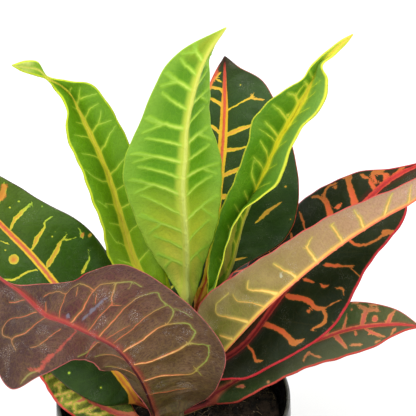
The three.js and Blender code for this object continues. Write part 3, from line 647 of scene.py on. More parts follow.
LEAVES["leaf_back_right"] = dict(
    slot="leaf_green", upper="red_veined", lower="green_lower",
    camber=0.08, wave=1.2, waves=4, phase=0.8,
    sections=[
        [(6.6, 1.4, 103)],
        [(10, 9, 106)],
        [(13, 16, 110), (4, 20, 112), (21, 13, 112)],
        [(21, 36, 117), (-2, 45, 121), (43, 27, 121)],
        [(28, 55, 119), (4, 65, 123), (51, 45, 123)],
        [(35, 74, 115), (15, 83, 118), (54, 67, 118)],
        [(40, 89, 107), (29, 94, 109), (50, 84, 109)],
        [(43, 98, 100)],
    ],
    rib=[(1, 1.6), (3, 1.5), (5, 1.1), (7, 0.3)],
    **hidden_veins(0.9, 51),
)

LEAVES["leaf_back_low"] = dict(
    slot="leaf_green", upper="yellow_veined", lower="green_lower",
    camber=0.08, wave=1.2, waves=4, phase=0.1,
    sections=[
        [(1.3, 1, 89)],
        [(1.5, 8, 93)],
        [(1, 16, 97), (-9, 16, 99), (11, 16, 99)],
        [(0, 34, 103), (-26, 34, 107), (26, 34, 107)],
        [(-1, 54, 104), (-28, 54, 108), (26, 54, 108)],
        [(-2, 74, 98), (-24, 75, 102), (20, 75, 102)],
        [(-3, 90, 87), (-15, 91, 90), (9, 91, 90)],
        [(-4, 99, 77)],
    ],
    rib=[(1, 1.6), (3, 1.5), (5, 1.1), (7, 0.3)],
    **hidden_veins(0.8, 61),
)

LEAVES["leaf_back_far_left"] = dict(
    slot="leaf_green", upper="red_veined", lower="green_lower",
    camber=0.08, wave=1, waves=4, phase=0.6,
    sections=[
        [(-3, -1, 96)],
        [(-9, 3, 100)],
        [(-16, 8, 105), (-21, 1, 107), (-10, 15, 107)],
        [(-29, 16, 111), (-39, 0, 114), (-19, 32, 114)],
        [(-43, 25, 112), (-54, 9, 115), (-32, 41, 115)],
        [(-56, 33, 108), (-65, 19, 111), (-48, 47, 111)],
        [(-66, 40, 101), (-71, 33, 103), (-61, 46, 103)],
        [(-72, 44, 94)],
    ],
    rib=[(1, 1.5), (3, 1.4), (5, 1.0), (7, 0.3)],
    **hidden_veins(0.8, 71),
)


# ---- colours and materials ----
#
# Bare numbers in the materials are given in place: scales and details of noises, and the low and
# high ends of a change with its bottom and top value.

def rgb(red, green, blue):
    """A display colour, 0 to 255, as the linear colour that a shader takes."""
    linear = []
    for part in (red, green, blue):
        part /= 255
        linear.append(part / 12.92 if part <= 0.04045 else ((part + 0.055) / 1.055) ** 2.4)
    return (*linear, 1)


class Nodes:
    """The node tree of one material, with short calls for the nodes that it uses."""

    def __init__(self, name, roughness=0.5, specular=0.5):
        self.material = bpy.data.materials.new(name)
        self.material.use_nodes = True
        self.tree = self.material.node_tree
        self.shader = self.tree.nodes["Principled BSDF"]
        self.shader.inputs["Roughness"].default_value = roughness
        self.shader.inputs["Specular IOR Level"].default_value = specular

    def feed(self, socket, value):
        if isinstance(value, bpy.types.NodeSocket):
            self.tree.links.new(value, socket)
        else:
            socket.default_value = value

    def add(self, kind, inputs, **settings):
        node = self.tree.nodes.new(kind)
        for key, value in settings.items():
            setattr(node, key, value)
        for key, value in inputs.items():
            self.feed(node.inputs[key], value)
        return node

    def attribute(self, name, output="Fac"):
        return self.add("ShaderNodeAttribute", {}, attribute_name=name).outputs[output]

    def place(self):
        return self.add("ShaderNodeTexCoord", {}).outputs["Object"]

    def stretch(self, vector, *scale):
        return self.add("ShaderNodeMapping", {"Vector": vector, "Scale": scale}).outputs["Vector"]

    def axis(self, vector, name):
        return self.add("ShaderNodeSeparateXYZ", {"Vector": vector}).outputs[name]

    def noise(self, vector, scale, detail=2.0, roughness=0.5):
        inputs = {"Vector": vector, "Scale": scale, "Detail": detail, "Roughness": roughness}
        return self.add("ShaderNodeTexNoise", inputs).outputs["Fac"]

    def net(self, vector, scale):
        inputs = {"Vector": vector, "Scale": scale}
        node = self.add("ShaderNodeTexVoronoi", inputs, feature="DISTANCE_TO_EDGE")
        return node.outputs["Distance"]

    def warped(self, vector, scale, reach):
        """The vector pushed about by a slow noise, in its X and Y."""
        push = self.add("ShaderNodeTexNoise", {"Vector": vector, "Scale": scale, "Detail": 3.0})
        inputs = {"Vector": push.outputs["Color"], 1: (reach, reach, 0.0), 2: vector}
        node = self.add("ShaderNodeVectorMath", inputs, operation="MULTIPLY_ADD")
        return node.outputs["Vector"]

    def math(self, operation, first, second=0.0):
        node = self.add("ShaderNodeMath", {}, operation=operation)
        self.feed(node.inputs[0], first)
        self.feed(node.inputs[1], second)
        return node.outputs[0]

    def plus(self, value, other, factor):
        """value + other * factor"""
        return self.math("ADD", value, self.math("MULTIPLY", other, factor))

    def smooth(self, value, low, high, bottom=0.0, top=1.0):
        inputs = {"Value": value, "From Min": low, "From Max": high, "To Min": bottom, "To Max": top}
        return self.add("ShaderNodeMapRange", inputs, interpolation_type="SMOOTHSTEP").outputs[0]

    def mix(self, factor, first, second):
        """A blend of two colours, each a socket or a display colour."""
        node = self.add("ShaderNodeMix", {}, data_type="RGBA")
        self.feed(node.inputs["Factor"], factor)
        for socket, colour in ((node.inputs[6], first), (node.inputs[7], second)):
            self.feed(socket, rgb(*colour) if isinstance(colour, tuple) else colour)
        return node.outputs[2]

    def ramp(self, value, stops):
        """A colour that changes with `value`, through stops of (value, red, green, blue)."""
        node = self.add("ShaderNodeValToRGB", {"Fac": value})
        elements = node.color_ramp.elements
        for element, stop in zip(elements, (stops[0], stops[-1])):
            element.position = stop[0]
            element.color = rgb(*stop[1:])
        for stop in stops[1:-1]:
            elements.new(stop[0]).color = rgb(*stop[1:])
        return node.outputs["Color"]

    def shade(self, along, value):
        """A colour of a face: a list of stops changes along the leaf, and one colour doesn't."""
        return self.ramp(along, value) if isinstance(value, list) else value

    def colour(self, value):
        self.feed(self.shader.inputs["Base Color"], value)

    def rough(self, value):
        self.feed(self.shader.inputs["Roughness"], value)

    def bump(self, height, distance):
        inputs = {"Height": height, "Distance": distance}
        self.feed(self.shader.inputs["Normal"], self.add("ShaderNodeBump", inputs).outputs[0])


# Colours are display colours, 0 to 255. ground, rib_side, rib_core, margin and the last colour of
# vein may change along the leaf, from its stalk (0) to its tip (1), as a list of (place, colour).
# drift: a second ground colour and how much of it drifts in. glow: the ground close to a vein, out
# to glow_width in mm. vein: its side, its core, and its colour far out. core: half width of the
# midrib's core in mm. soft, rib_soft: how softly the veins and the midrib end, and jag: how ragged
# a vein's sides are, all in mm. net: strength of the fine net. margins: width of the coloured
# margin in mm, left and right. right: a painted sheen over the right half blade past its base, and
# how much of it. patch_and_sheen: the colour of its patches, left and right, which are blotches and
# on some faces painted sheen. outer: the ground near the edges. rib_glow: the ground beside the
# midrib, its width in mm and amount. mottle: fine streaks. dust_and_glints: pale specks, dust with
# painted glints among them.

PLAIN_FACE = dict(
    glow_width=0.8, soft=0.12, jag=0.25, rib_soft=0.2, core=0.6, net=0.1,
    roughness=0.42, specular=0.2, dust_and_glints=0.12, mottle=((20, 30, 10), 0.25),
    patch_and_sheen=((226, 130, 60), (226, 130, 60)),
    right=((128, 128, 128), 0.0), outer=((128, 128, 128), 0.0), rib_glow=((128, 128, 128), 1.0, 0.0),
)

FACES = {
    "young_lower": dict(
        ground=[(0.18, 226, 216, 92), (0.34, 190, 200, 56), (0.46, 90, 146, 8), (0.85, 84, 136, 10),
                (0.97, 176, 180, 44), (1.0, 110, 70, 40)],
        drift=((112, 162, 26), 0.35), glow=(148, 192, 44), glow_width=1.1, outer=((142, 186, 62), 0.7),
        vein=((176, 212, 72), (194, 220, 90), (146, 192, 64)), soft=0.4, jag=0.1,
        rib_side=[(0.1, 206, 206, 92), (0.5, 190, 208, 74), (1.0, 206, 206, 70)],
        rib_core=[(0.1, 190, 204, 100), (0.5, 204, 216, 100), (1.0, 214, 214, 90)],
        rib_soft=0.8, core=0.9, rib_glow=((188, 206, 66), 3.2, 0.9),
        margin=(176, 214, 60), margins=(0.4, 0.4), roughness=0.45, mottle=((70, 120, 6), 0.2), dust_and_glints=0.0,
    ),
    "young_upper": dict(
        ground=[(0.1, 144, 178, 26), (0.35, 108, 156, 14), (0.7, 104, 154, 18), (0.84, 140, 180, 50),
                (0.9, 214, 222, 120), (1.0, 210, 216, 110)],
        drift=((104, 152, 34), 0.6), glow=(150, 192, 44), glow_width=1.2,
        vein=((196, 216, 66), (210, 224, 80), (160, 200, 70)), soft=0.2, jag=0.12,
        rib_side=[(0.0, 216, 214, 66), (0.6, 228, 222, 60), (1.0, 216, 216, 110)],
        rib_core=[(0.0, 226, 214, 80), (0.6, 236, 222, 74), (1.0, 200, 206, 100)],
        rib_soft=0.4, rib_glow=((150, 186, 44), 1.6, 0.6),
        margin=(206, 224, 44), margins=(0.8, 0.5), mottle=((50, 96, 6), 0.2), dust_and_glints=0.0,
    ),
    "bright_upper": dict(
        ground=[(0.0, 104, 146, 30), (0.3, 82, 136, 12), (0.7, 86, 140, 14), (0.79, 116, 158, 32),
                (0.88, 196, 204, 80), (0.95, 240, 216, 76), (1.0, 240, 214, 70)],
        # right: a painted sheen on the right half blade.
        drift=((120, 164, 46), 0.6), glow=(160, 196, 44), glow_width=1.5, right=((140, 180, 84), 0.55),
        vein=((216, 224, 70), (234, 230, 76), (170, 204, 70)), soft=0.25, jag=0.25,
        rib_side=[(0.0, 212, 214, 66), (0.5, 246, 240, 66), (1.0, 240, 220, 70)],
        rib_core=[(0.0, 222, 214, 80), (0.5, 252, 246, 90), (1.0, 240, 220, 80)],
        rib_soft=0.5, rib_glow=((190, 212, 56), 2.2, 0.8),
        margin=(228, 234, 70), margins=(0.4, 1.1), mottle=((50, 96, 6), 0.2), dust_and_glints=0.0,
    ),
    "amber_veined": dict(
        ground=[(0.0, 24, 42, 10), (0.4, 32, 60, 12), (0.7, 48, 76, 28), (0.88, 46, 58, 30),
                (0.94, 60, 38, 34), (1.0, 56, 34, 34)],
        drift=((64, 90, 36), 0.6), glow=(60, 90, 24), patch_and_sheen=((226, 96, 60), (226, 96, 60)),
        vein=((240, 206, 50), (246, 184, 62), (226, 170, 60)), jag=0.3,
        rib_side=[(0.08, 160, 84, 30), (0.25, 226, 190, 50), (0.62, 246, 204, 56), (0.78, 244, 150, 60),
                  (0.88, 200, 84, 60), (0.95, 66, 38, 38), (1.0, 66, 38, 38)],
        rib_core=[(0.05, 130, 44, 24), (0.3, 206, 100, 44), (0.6, 232, 108, 70), (0.9, 222, 90, 76),
                  (0.96, 70, 40, 40), (1.0, 70, 40, 40)],
        core=0.75, margin=[(0.0, 206, 92, 60), (0.88, 206, 84, 60), (0.94, 70, 44, 40), (1.0, 60, 38, 38)],
        margins=(0.6, 0.25),
    ),
    "yellow_veined": dict(
        ground=[(0.0, 24, 40, 8), (0.4, 30, 56, 10), (0.6, 52, 88, 16), (0.85, 92, 118, 34),
                (1.0, 114, 126, 42)],
        drift=((66, 94, 28), 0.5), glow=(64, 100, 24),
        vein=((222, 214, 60), (226, 178, 60), (170, 200, 60)), jag=0.35,
        rib_side=[(0.1, 170, 84, 40), (0.25, 236, 180, 50), (0.6, 248, 214, 60), (1.0, 236, 110, 60)],
        rib_core=[(0.1, 150, 60, 40), (0.3, 232, 150, 60), (0.55, 226, 128, 84), (1.0, 226, 90, 60)],
        core=0.7, margin=(84, 70, 34), margins=(0.3, 0.3),
    ),
    "red_veined": dict(
        ground=[(0.0, 26, 22, 12), (0.35, 20, 30, 10), (0.6, 24, 36, 12), (0.8, 42, 44, 18),
                (1.0, 70, 50, 30)],
        drift=((44, 54, 22), 0.5), glow=(64, 60, 26),
        vein=((206, 106, 50), (230, 102, 60), (190, 112, 50)), soft=0.14, jag=0.4,
        rib_side=[(0.1, 110, 34, 32), (0.5, 200, 66, 54), (1.0, 226, 84, 66)],
        rib_core=[(0.1, 84, 26, 28), (0.5, 160, 40, 44), (1.0, 216, 70, 66)],
        rib_glow=((92, 30, 28), 2.4, 0.5),
        margin=(196, 44, 52), margins=(0.5, 0.85), roughness=0.46, specular=0.14,
    ),
    "rose_veined": dict(
        ground=[(0.0, 30, 40, 12), (0.4, 44, 62, 22), (0.65, 66, 86, 42), (1.0, 110, 106, 70)],
        # right: a painted sheen on the right half blade.
        drift=((84, 98, 66), 0.5), glow=(110, 100, 60), right=((90, 90, 70), 0.6),
        vein=((220, 140, 84), (222, 110, 90), (196, 130, 84)), soft=0.16, jag=0.45,
        rib_side=[(0.1, 120, 44, 40), (0.5, 226, 130, 84), (1.0, 226, 120, 90)],
        rib_core=[(0.1, 96, 34, 36), (0.5, 206, 76, 76), (1.0, 206, 80, 76)],
        core=0.7, rib_glow=((170, 90, 70), 1.6, 0.4),
        margin=(200, 74, 62), margins=(0.35, 0.7), roughness=0.55, specular=0.1,
    ),
    "mottled_upper": dict(
        ground=[(0.0, 50, 70, 18), (0.4, 26, 64, 12), (1.0, 30, 64, 16)],
        drift=((180, 182, 64), 0.9), glow=(196, 196, 66), glow_width=1.2,
        vein=((226, 206, 96), (226, 130, 96), (230, 150, 100)), soft=0.3, jag=1.1,
        rib_side=[(0.0, 200, 120, 80), (1.0, 220, 90, 76)],
        rib_core=[(0.0, 180, 90, 76), (1.0, 216, 80, 76)],
        margin=(216, 66, 56), margins=(0.9, 0.5), net=0.15,
    ),
    "purple_lower": dict(
        ground=[(0.08, 60, 60, 18), (0.3, 80, 70, 24), (0.46, 94, 66, 34), (0.58, 100, 50, 44),
                (0.72, 78, 40, 40), (0.85, 66, 42, 42), (1.0, 90, 50, 46)],
        drift=((138, 104, 78), 0.7), glow=(118, 92, 44), glow_width=1.2, outer=((84, 60, 52), 0.4),
        vein=((200, 100, 66), (240, 196, 116),
              [(0.3, 128, 150, 60), (0.7, 140, 140, 74), (1.0, 170, 110, 90)]),
        soft=0.14, jag=0.1,
        rib_side=[(0.08, 120, 74, 36), (0.3, 164, 92, 48), (0.5, 170, 72, 52), (1.0, 190, 78, 68)],
        rib_core=[(0.08, 50, 14, 18), (0.36, 60, 18, 22), (0.48, 100, 30, 34), (0.62, 160, 54, 50),
                  (1.0, 180, 64, 62)],
        rib_soft=0.4, core=0.55, rib_glow=((138, 50, 44), 2.2, 0.7),
        margin=(206, 104, 98), margins=(0.3, 0.45), net=0.3, roughness=0.46, specular=0.24,
        # patch: a painted blue-grey sheen on the left, reddish blotches on the right.
        patch_and_sheen=((120, 118, 132), (200, 86, 70)), mottle=((56, 26, 26), 0.8), dust_and_glints=0.55,
    ),
    "tan_lower": dict(
        ground=[(0.1, 96, 112, 26), (0.25, 120, 126, 40), (0.4, 144, 130, 60), (0.6, 178, 140, 102),
                (0.85, 208, 162, 138), (1.0, 220, 152, 124)],
        drift=((206, 170, 130), 0.35), glow=(186, 166, 76), glow_width=1.3, outer=((160, 120, 96), 0.5),
        vein=((232, 176, 84), (248, 222, 116), (196, 190, 84)), soft=0.18, jag=0.12,
        rib_side=[(0.1, 206, 190, 60), (0.35, 244, 200, 92), (0.7, 240, 170, 96), (1.0, 240, 130, 90)],
        rib_core=[(0.1, 206, 130, 60), (0.4, 238, 130, 84), (1.0, 232, 100, 80)],
        rib_soft=0.3, rib_glow=((206, 170, 90), 1.6, 0.5),
        margin=(214, 92, 84), margins=(0.4, 0.75), net=0.16, roughness=0.48,
        # patch: pale grey, dust with a painted sheen.
        patch_and_sheen=((206, 204, 170), (206, 204, 170)), mottle=((130, 88, 62), 0.4), dust_and_glints=0.5,
    ),
    "green_lower": dict(
        ground=[(0.0, 96, 104, 40), (0.5, 96, 114, 50), (1.0, 120, 124, 66)],
        drift=((128, 140, 76), 0.6), glow=(150, 150, 70), glow_width=1.2,
        vein=((192, 182, 84), (206, 170, 90), (150, 168, 84)), soft=0.2, jag=0.15,
        rib_side=[(0.0, 160, 110, 70), (1.0, 206, 150, 84)],
        rib_core=[(0.0, 150, 90, 70), (1.0, 210, 130, 84)],
        margin=(196, 110, 76), margins=(0.35, 0.35), net=0.2, roughness=0.46,
    ),
}


def leaf_measures(n, face):
    """The measures on a leaf's points, and the noises that several of its colours share."""
    m = SimpleNamespace()
    m.flat = n.attribute("flat", "Vector")
    m.along = n.attribute("along")
    m.outward = n.attribute("outward")
    m.across = n.axis(m.flat, "X")
    m.on_right = n.smooth(m.across, -0.5, 0.5)
    m.grain = n.noise(m.flat, 2.2, 2, 0.6)
    m.fine = n.noise(m.flat, 0.55, 3, 0.6)
    m.uneven = n.math("SUBTRACT", m.fine, 0.5)
    m.jag = n.math("MULTIPLY", m.uneven, 3.2 * face["jag"])
    m.cells = n.smooth(n.net(n.warped(m.flat, 0.3, 4.0), 0.3), 0.0, 0.09, 1.0, 0.0)

    # A thin vein is narrower than the mesh is fine, so its half width is set against the distance
    # from its line with a sign, which runs evenly through zero. That holds only close to the line.
    m.line_width = n.attribute("vein_width")
    off_line = n.math("ABSOLUTE", n.attribute("vein_side"))
    beyond = n.math("SUBTRACT", n.attribute("vein_gap"), m.line_width)
    inside = n.math("SUBTRACT", m.line_width, off_line)
    thin = n.math("ADD", inside, n.smooth(beyond, 0.6, 1.0, 0.0, -9.0))
    m.vein = n.math("MAXIMUM", n.attribute("vein_depth"), thin)
    return m


def ground_colour(n, m, face):
    """The blade between its veins, with its drift, streaks, edge tint and painted right-half sheen."""
    second, amount = face["drift"]
    broad = n.math("MULTIPLY", n.noise(m.flat, 0.08, 3), 0.8)
    drift = n.smooth(n.plus(broad, m.grain, 0.35), 0.4, 0.85, 0.0, amount)
    colour = n.mix(drift, n.ramp(m.along, face["ground"]), second)
    second, amount = face["outer"]
    colour = n.mix(n.smooth(m.outward, 0.5, 1.0, 0.0, amount), colour, second)
    second, amount = face["mottle"]
    streaks = n.noise(n.stretch(m.flat, 0.5, 1, 1), 1.3, 4, 0.7)
    colour = n.mix(n.smooth(streaks, 0.4, 0.7, 0.0, amount), colour, second)
    # Painted sheen: the right half blade, past its base, is tinted paler and greyer.
    second, amount = face["right"]
    past_base = n.smooth(m.along, 0.3, 0.5, 0.0, amount)
    return n.mix(n.math("MULTIPLY", m.on_right, past_base), colour, second)


def add_glows(n, m, face, colour):
    """The lighter ground by the midrib and the veins, the fine net and the plain side veins."""
    beside_rib, width, amount = face["rib_glow"]
    colour = n.mix(n.smooth(n.attribute("rib_depth"), -width, 0.0, 0.0, amount), colour, beside_rib)
    near_vein = n.smooth(m.vein, -face["glow_width"], 0.0, 0.0, 0.8)
    near_vein = n.math("MULTIPLY", near_vein, n.smooth(m.line_width, 0.05, 0.35, 0.3, 1.0))
    colour = n.mix(near_vein, colour, face["glow"])
    colour = n.mix(n.math("MULTIPLY", m.cells, face["net"]), colour, face["glow"])
    return n.mix(n.smooth(n.attribute("line_gap"), 0.0, 0.5, 0.22, 0.0), colour, face["glow"])


def add_veins(n, m, face, colour):
    """The coloured veins, then the patches: blotches, and on some faces painted sheen."""
    side, core, far = face["vein"]
    vein_colour = n.mix(n.smooth(m.vein, 0.1, 0.6), side, core)
    vein_colour = n.mix(n.smooth(m.outward, 0.35, 0.85), vein_colour, n.shade(m.along, far))
    in_vein = n.smooth(n.math("ADD", m.vein, m.jag), -face["soft"], face["soft"])
    colour = n.mix(in_vein, colour, vein_colour)
    # Patches: blotches, and on some faces a painted sheen.
    patch_and_sheen = n.smooth(n.plus(n.attribute("patch_and_sheen_depth"), m.uneven, 2.5), -0.4, 0.5, 0.0, 0.75)
    return n.mix(patch_and_sheen, colour, n.mix(m.on_right, *face["patch_and_sheen"]))


def add_margin(n, m, face, colour):
    edge_line = n.plus(n.attribute("edge_gap"), m.jag, 0.4)
    width = n.smooth(m.across, -0.5, 0.5, *face["margins"])
    in_margin = n.smooth(n.math("DIVIDE", edge_line, width), 0.6, 1.4, 1.0, 0.0)
    return n.mix(in_margin, colour, n.shade(m.along, face["margin"]))


def add_midrib(n, m, face, colour):
    from_line = n.plus(n.math("ABSOLUTE", m.across), m.jag, 0.8)
    in_core = n.smooth(n.math("DIVIDE", from_line, face["core"]), 0.6, 1.3, 1.0, 0.0)
    rib_colour = n.mix(in_core, n.ramp(m.along, face["rib_side"]), n.ramp(m.along, face["rib_core"]))
    rib = n.plus(n.attribute("rib_depth"), m.jag, 0.6)
    return n.mix(n.smooth(rib, -face["rib_soft"], face["rib_soft"]), colour, rib_colour)


def add_dust_and_glints(n, m, face, colour):
    if not face["dust_and_glints"]:
        return colour
    # Pale specks: dust, with painted glints among them.
    specks = n.smooth(n.noise(m.flat, 2.0, 3, 0.75), 0.56, 0.62)
    where = n.smooth(n.noise(m.flat, 0.1, 3), 0.54, 0.62, 0.0, face["dust_and_glints"])
    return n.mix(n.math("MULTIPLY", specks, where), colour, DUST_AND_GLINT_COLOUR)


def leaf_material(name, changes):
    """One face of a leaf, coloured by the measures on its points: veins, midrib and margin."""
    face = {**PLAIN_FACE, **changes}
    n = Nodes(name, face["roughness"], face["specular"])
    m = leaf_measures(n, face)
    colour = ground_colour(n, m, face)
    for add_layer in (add_glows, add_veins, add_margin, add_midrib, add_dust_and_glints):
        colour = add_layer(n, m, face, colour)
    n.colour(colour)
    rough = face["roughness"]
    n.rough(n.smooth(m.fine, 0.2, 0.8, rough - 0.07, rough + 0.07))
    n.bump(n.plus(n.math("MULTIPLY", m.grain, 0.5), m.cells, -0.6), LEAF_BUMP)
    return n.material


# ---- leaf surface ----

def unit(vector):
    return vector / np.maximum(np.linalg.norm(vector, axis=-1, keepdims=True), 1e-9)


def soft_max(first, second):
    """The larger of two lengths, with a rounded change from one to the other."""
    return (np.abs(first) ** 4 + np.abs(second) ** 4) ** 0.25


def catmull_rom(points, places):
    """The smooth curve through the points, and its slope, at fractional point numbers."""
    points = np.asarray(points, float)
    ends = 2 * points[0] - points[1], 2 * points[-1] - points[-2]
    padded = np.vstack([ends[0], points, ends[1]])
    index = np.clip(np.floor(places).astype(int), 0, len(points) - 2)
    w = (places - index)[:, None]
    a, b, c, d = (padded[index + k] for k in range(4))
    start, end = (c - a) / 2, (d - b) / 2
    place = ((2 * w ** 3 - 3 * w ** 2 + 1) * b + (w ** 3 - 2 * w ** 2 + w) * start
             + (3 * w ** 2 - 2 * w ** 3) * c + (w ** 3 - w ** 2) * end)
    slope = ((6 * w ** 2 - 6 * w) * (b - c) + (3 * w ** 2 - 4 * w + 1) * start
             + (3 * w ** 2 - 2 * w) * end)
    return place, slope


def stem_share(height):
    return (height - STEM_SOIL[2]) / (STEM_TOP[2] - STEM_SOIL[2])


def stem_axis(height):
    low, high = np.array(STEM_SOIL, float), np.array(STEM_TOP, float)
    return low + (high - low) * max(0.0, stem_share(height))


def stem_radius(height):
    share = min(1.0, max(0.0, stem_share(height)))
    return STEM_BASE_RADIUS + (STEM_TOP_RADIUS - STEM_BASE_RADIUS) * share


def full_sections(leaf):
    """Midrib, left and right edge and roundness of each section, with the root inside the stem."""
    sections = leaf["sections"]
    start = np.array(sections[0][0], float)
    axis = stem_axis(start[2] - ROOT_DROP)
    root = axis + (start - axis) * ROOT_SHARE
    blades = [np.array(section, float) for section in sections if len(section) == 3]
    middles = [root] + [np.array(section[0], float) for section in sections]
    rows = []
    for index, middle in enumerate(middles):
        section = sections[index - 1] if index else sections[0]
        if index and len(section) == 3:
            rows.append((middle, np.array(section[1], float), np.array(section[2], float), 0.0))
            continue
        is_tip = index == len(middles) - 1
        nearest = blades[-1] if is_tip else blades[0]
        along = unit(middles[index - 1 if is_tip else index + 1] - middle)
        across = nearest[2] - nearest[1]
        across = unit(across - (across @ along) * along)
        reach = TIP_HALF_WIDTH if is_tip else STALK_RADIUS * (STALK_SWELLING if index < 2 else 1.1)
        roundness = 0.0 if is_tip else 1.0
        rows.append((middle, middle - across * reach, middle + across * reach, roundness))
    return rows


def vein_measures(points, veins):
    """How deep each point lies in the nearest vein, and for the nearest vein line its distance,
    that distance with the sign of the side it lies on, and the line's half width there."""
    depth = np.full(len(points), -FAR_FROM_VEINS)
    gap = np.full(len(points), FAR_FROM_VEINS)
    side = gap.copy()
    width = np.full(len(points), 0.1)
    for line in veins:
        starts, ends = (line[:-1], line[1:]) if len(line) > 1 else (line, line)
        for (x0, y0, w0), (x1, y1, w1) in zip(starts, ends):
            run = np.array([x1 - x0, y1 - y0])
            away = points - (x0, y0)
            share = np.clip((away @ run) / max(run @ run, 1e-9), 0, 1)
            distance = np.hypot(*(away - share[:, None] * run).T)
            here = w0 + (w1 - w0) * share
            depth = np.maximum(depth, here - distance)
            nearer = distance < gap
            is_left = run[0] * away[:, 1] - run[1] * away[:, 0] < 0
            side = np.where(nearer, np.where(is_left, -distance, distance), side)
            width = np.where(nearer, here, width)
            gap = np.where(nearer, distance, gap)
    return dict(vein_depth=depth, vein_gap=gap, vein_side=side, vein_width=width)


class Blade:
    """A leaf's midrib and edges at evenly spaced rows, and the flattened blade's coordinates."""

    def __init__(self, leaf, spacing):
        rows = full_sections(leaf)
        last = len(rows) - 1
        dense = np.linspace(0, last, DENSE_ROWS)
        lines = [np.array([row[k] for row in rows]) for k in range(3)]
        track = catmull_rom(lines[0], dense)[0]
        steps = np.linalg.norm(np.diff(track, axis=0), axis=1)
        length = np.concatenate([[0], np.cumsum(steps)])
        count = max(FEWEST_ROWS, int(length[-1] / spacing))
        self.places = np.interp(np.linspace(0, length[-1], count), length, dense)
        self.middle, slope = catmull_rom(lines[0], self.places)
        self.along = unit(slope)
        self.edge = {side: catmull_rom(lines[k + 1], self.places)[0] for k, side in enumerate("LR")}
        self.reach = {side: np.linalg.norm(self.edge[side] - self.middle, axis=1) for side in "LR"}
        self.round = np.interp(self.places, np.arange(last + 1), [row[3] for row in rows])
        self.progress = np.clip((self.places - 1) / (last - 1), 0, 1)
        self.length = np.interp(self.places, dense, length)
        self.facing = {}
        for side, sign in SIGNS.items():
            outward = sign * (self.edge[side] - self.middle)
            self.facing[side] = unit(np.cross(outward, self.along))
        self.rib_facing = unit(self.facing["L"] + self.facing["R"])

    def flat(self, side, section, share):
        """A place on the leaf as millimetres across and along the flattened blade."""
        place = section + 1
        across = np.interp(place, self.places, self.reach[side]) * share
        return SIGNS[side] * across, np.interp(place, self.places, self.length)

    def flat_vein(self, side, line, random):
        """A vein's line on the flattened blade, smoothed and slightly wavering."""
        points = np.array([(*self.flat(side, section, share), width) for section, share, width in line])
        if len(points) < 2:
            return points
        places = np.linspace(0, len(points) - 1, 5 * (len(points) - 1) + 1)
        smooth = catmull_rom(points, places)[0]
        smooth[1:-1, :2] += random.normal(0, VEIN_WAVER, (len(smooth) - 2, 2))
        uneven = random.uniform(0.85, 1.15, len(smooth))
        smooth[:, 2] = np.maximum(THINNEST_VEIN, smooth[:, 2] * uneven)
        return smooth

    def flat_veins(self, leaf, kind, random):
        """The leaf's coloured veins, plain side veins or patches as lines on the flattened blade."""
        flat = []
        for side, word in (("L", "left_"), ("R", "right_")):
            lines = leaf.get(word + kind, [])
            if kind == "lines":
                lines = pinnate(lines, **PLAIN_LINES)
            flat += [self.flat_vein(side, line, random) for line in lines]
        return flat


def ripple(x, y, random, size, waves=6):
    """A gentle uneven swell of the flattened blade, about one unit high."""
    total = np.zeros_like(x)
    for _ in range(waves):
        turn = random.uniform(0, 2 * math.pi)
        length = size * random.uniform(0.7, 1.6)
        push = random.uniform(0, 2 * math.pi)
        total += np.sin(2 * math.pi * (x * math.cos(turn) + y * math.sin(turn)) / length + push)
    return total / math.sqrt(waves)


def half_grid(leaf, blade, side, share):
    """Points over one half of the flattened blade: x across and y along, in mm, and f the share."""
    reach = blade.reach[side][:, None]
    rim = np.minimum(ROLLED_MARGIN / reach, 0.3)
    f = share[None, :] * (1 - rim)
    f[:, -1] = 1
    x = f * reach
    return SimpleNamespace(
        side=side, reach=reach, rim=rim, f=f, x=x, across=SIGNS[side] * x,
        y=np.broadcast_to(blade.length[:, None], x.shape),
        round=blade.round[:, None], flatness=1 - blade.round[:, None],
        rib_width=np.interp(blade.places - 1, *zip(*leaf["rib"]))[:, None],
    )


def vein_fields(grid, veins, plain, patches):
    """The measures from the veins, the plain side veins and the patches, over one half."""
    points = np.stack([grid.across, grid.y], -1).reshape(-1, 2)
    fields = vein_measures(points, veins)
    fields["line_gap"] = vein_measures(points, plain)["vein_gap"]
    fields["patch_and_sheen_depth"] = vein_measures(points, patches)["vein_depth"]
    return {name: values.reshape(grid.x.shape) for name, values in fields.items()}


def blade_relief(leaf, blade, grid, fields, random, number):
    """How far the blade's middle layer stands off the straight line from midrib to edge, in mm."""
    f, reach = grid.f, grid.reach
    lead = RIGHT_EDGE_LEAD if grid.side == "R" else 0
    turn = 2 * math.pi * (leaf["waves"] * blade.progress + leaf["phase"] + lead)
    wave = leaf["wave"] * np.sin(turn)[:, None] * f ** 2 * np.minimum(1, reach / FULL_WAVE_WIDTH)
    lift = leaf["camber"] * 4 * f * (1 - f) * reach * grid.flatness
    gap = np.minimum(fields["vein_gap"], fields["line_gap"])
    quilt = leaf["quilt"] * (1 - np.exp(-(gap / QUILT_REACH) ** 2))
    quilt = quilt * np.sin(math.pi * f) ** 0.7
    swell = SWELL_HEIGHT * ripple(grid.across, grid.y, random, SWELL_LENGTH)
    swell = swell * np.minimum(1, grid.x / FULL_SWELL_PLACE)
    ruffle = np.sin(2 * math.pi * grid.y / RUFFLE_LENGTHS[grid.side] + number)
    ruffle = leaf["ruffle"] * ruffle * f ** 4
    return lift + wave + (quilt + swell + ruffle) * grid.flatness * np.minimum(1, reach / FULL_RELIEF_WIDTH)


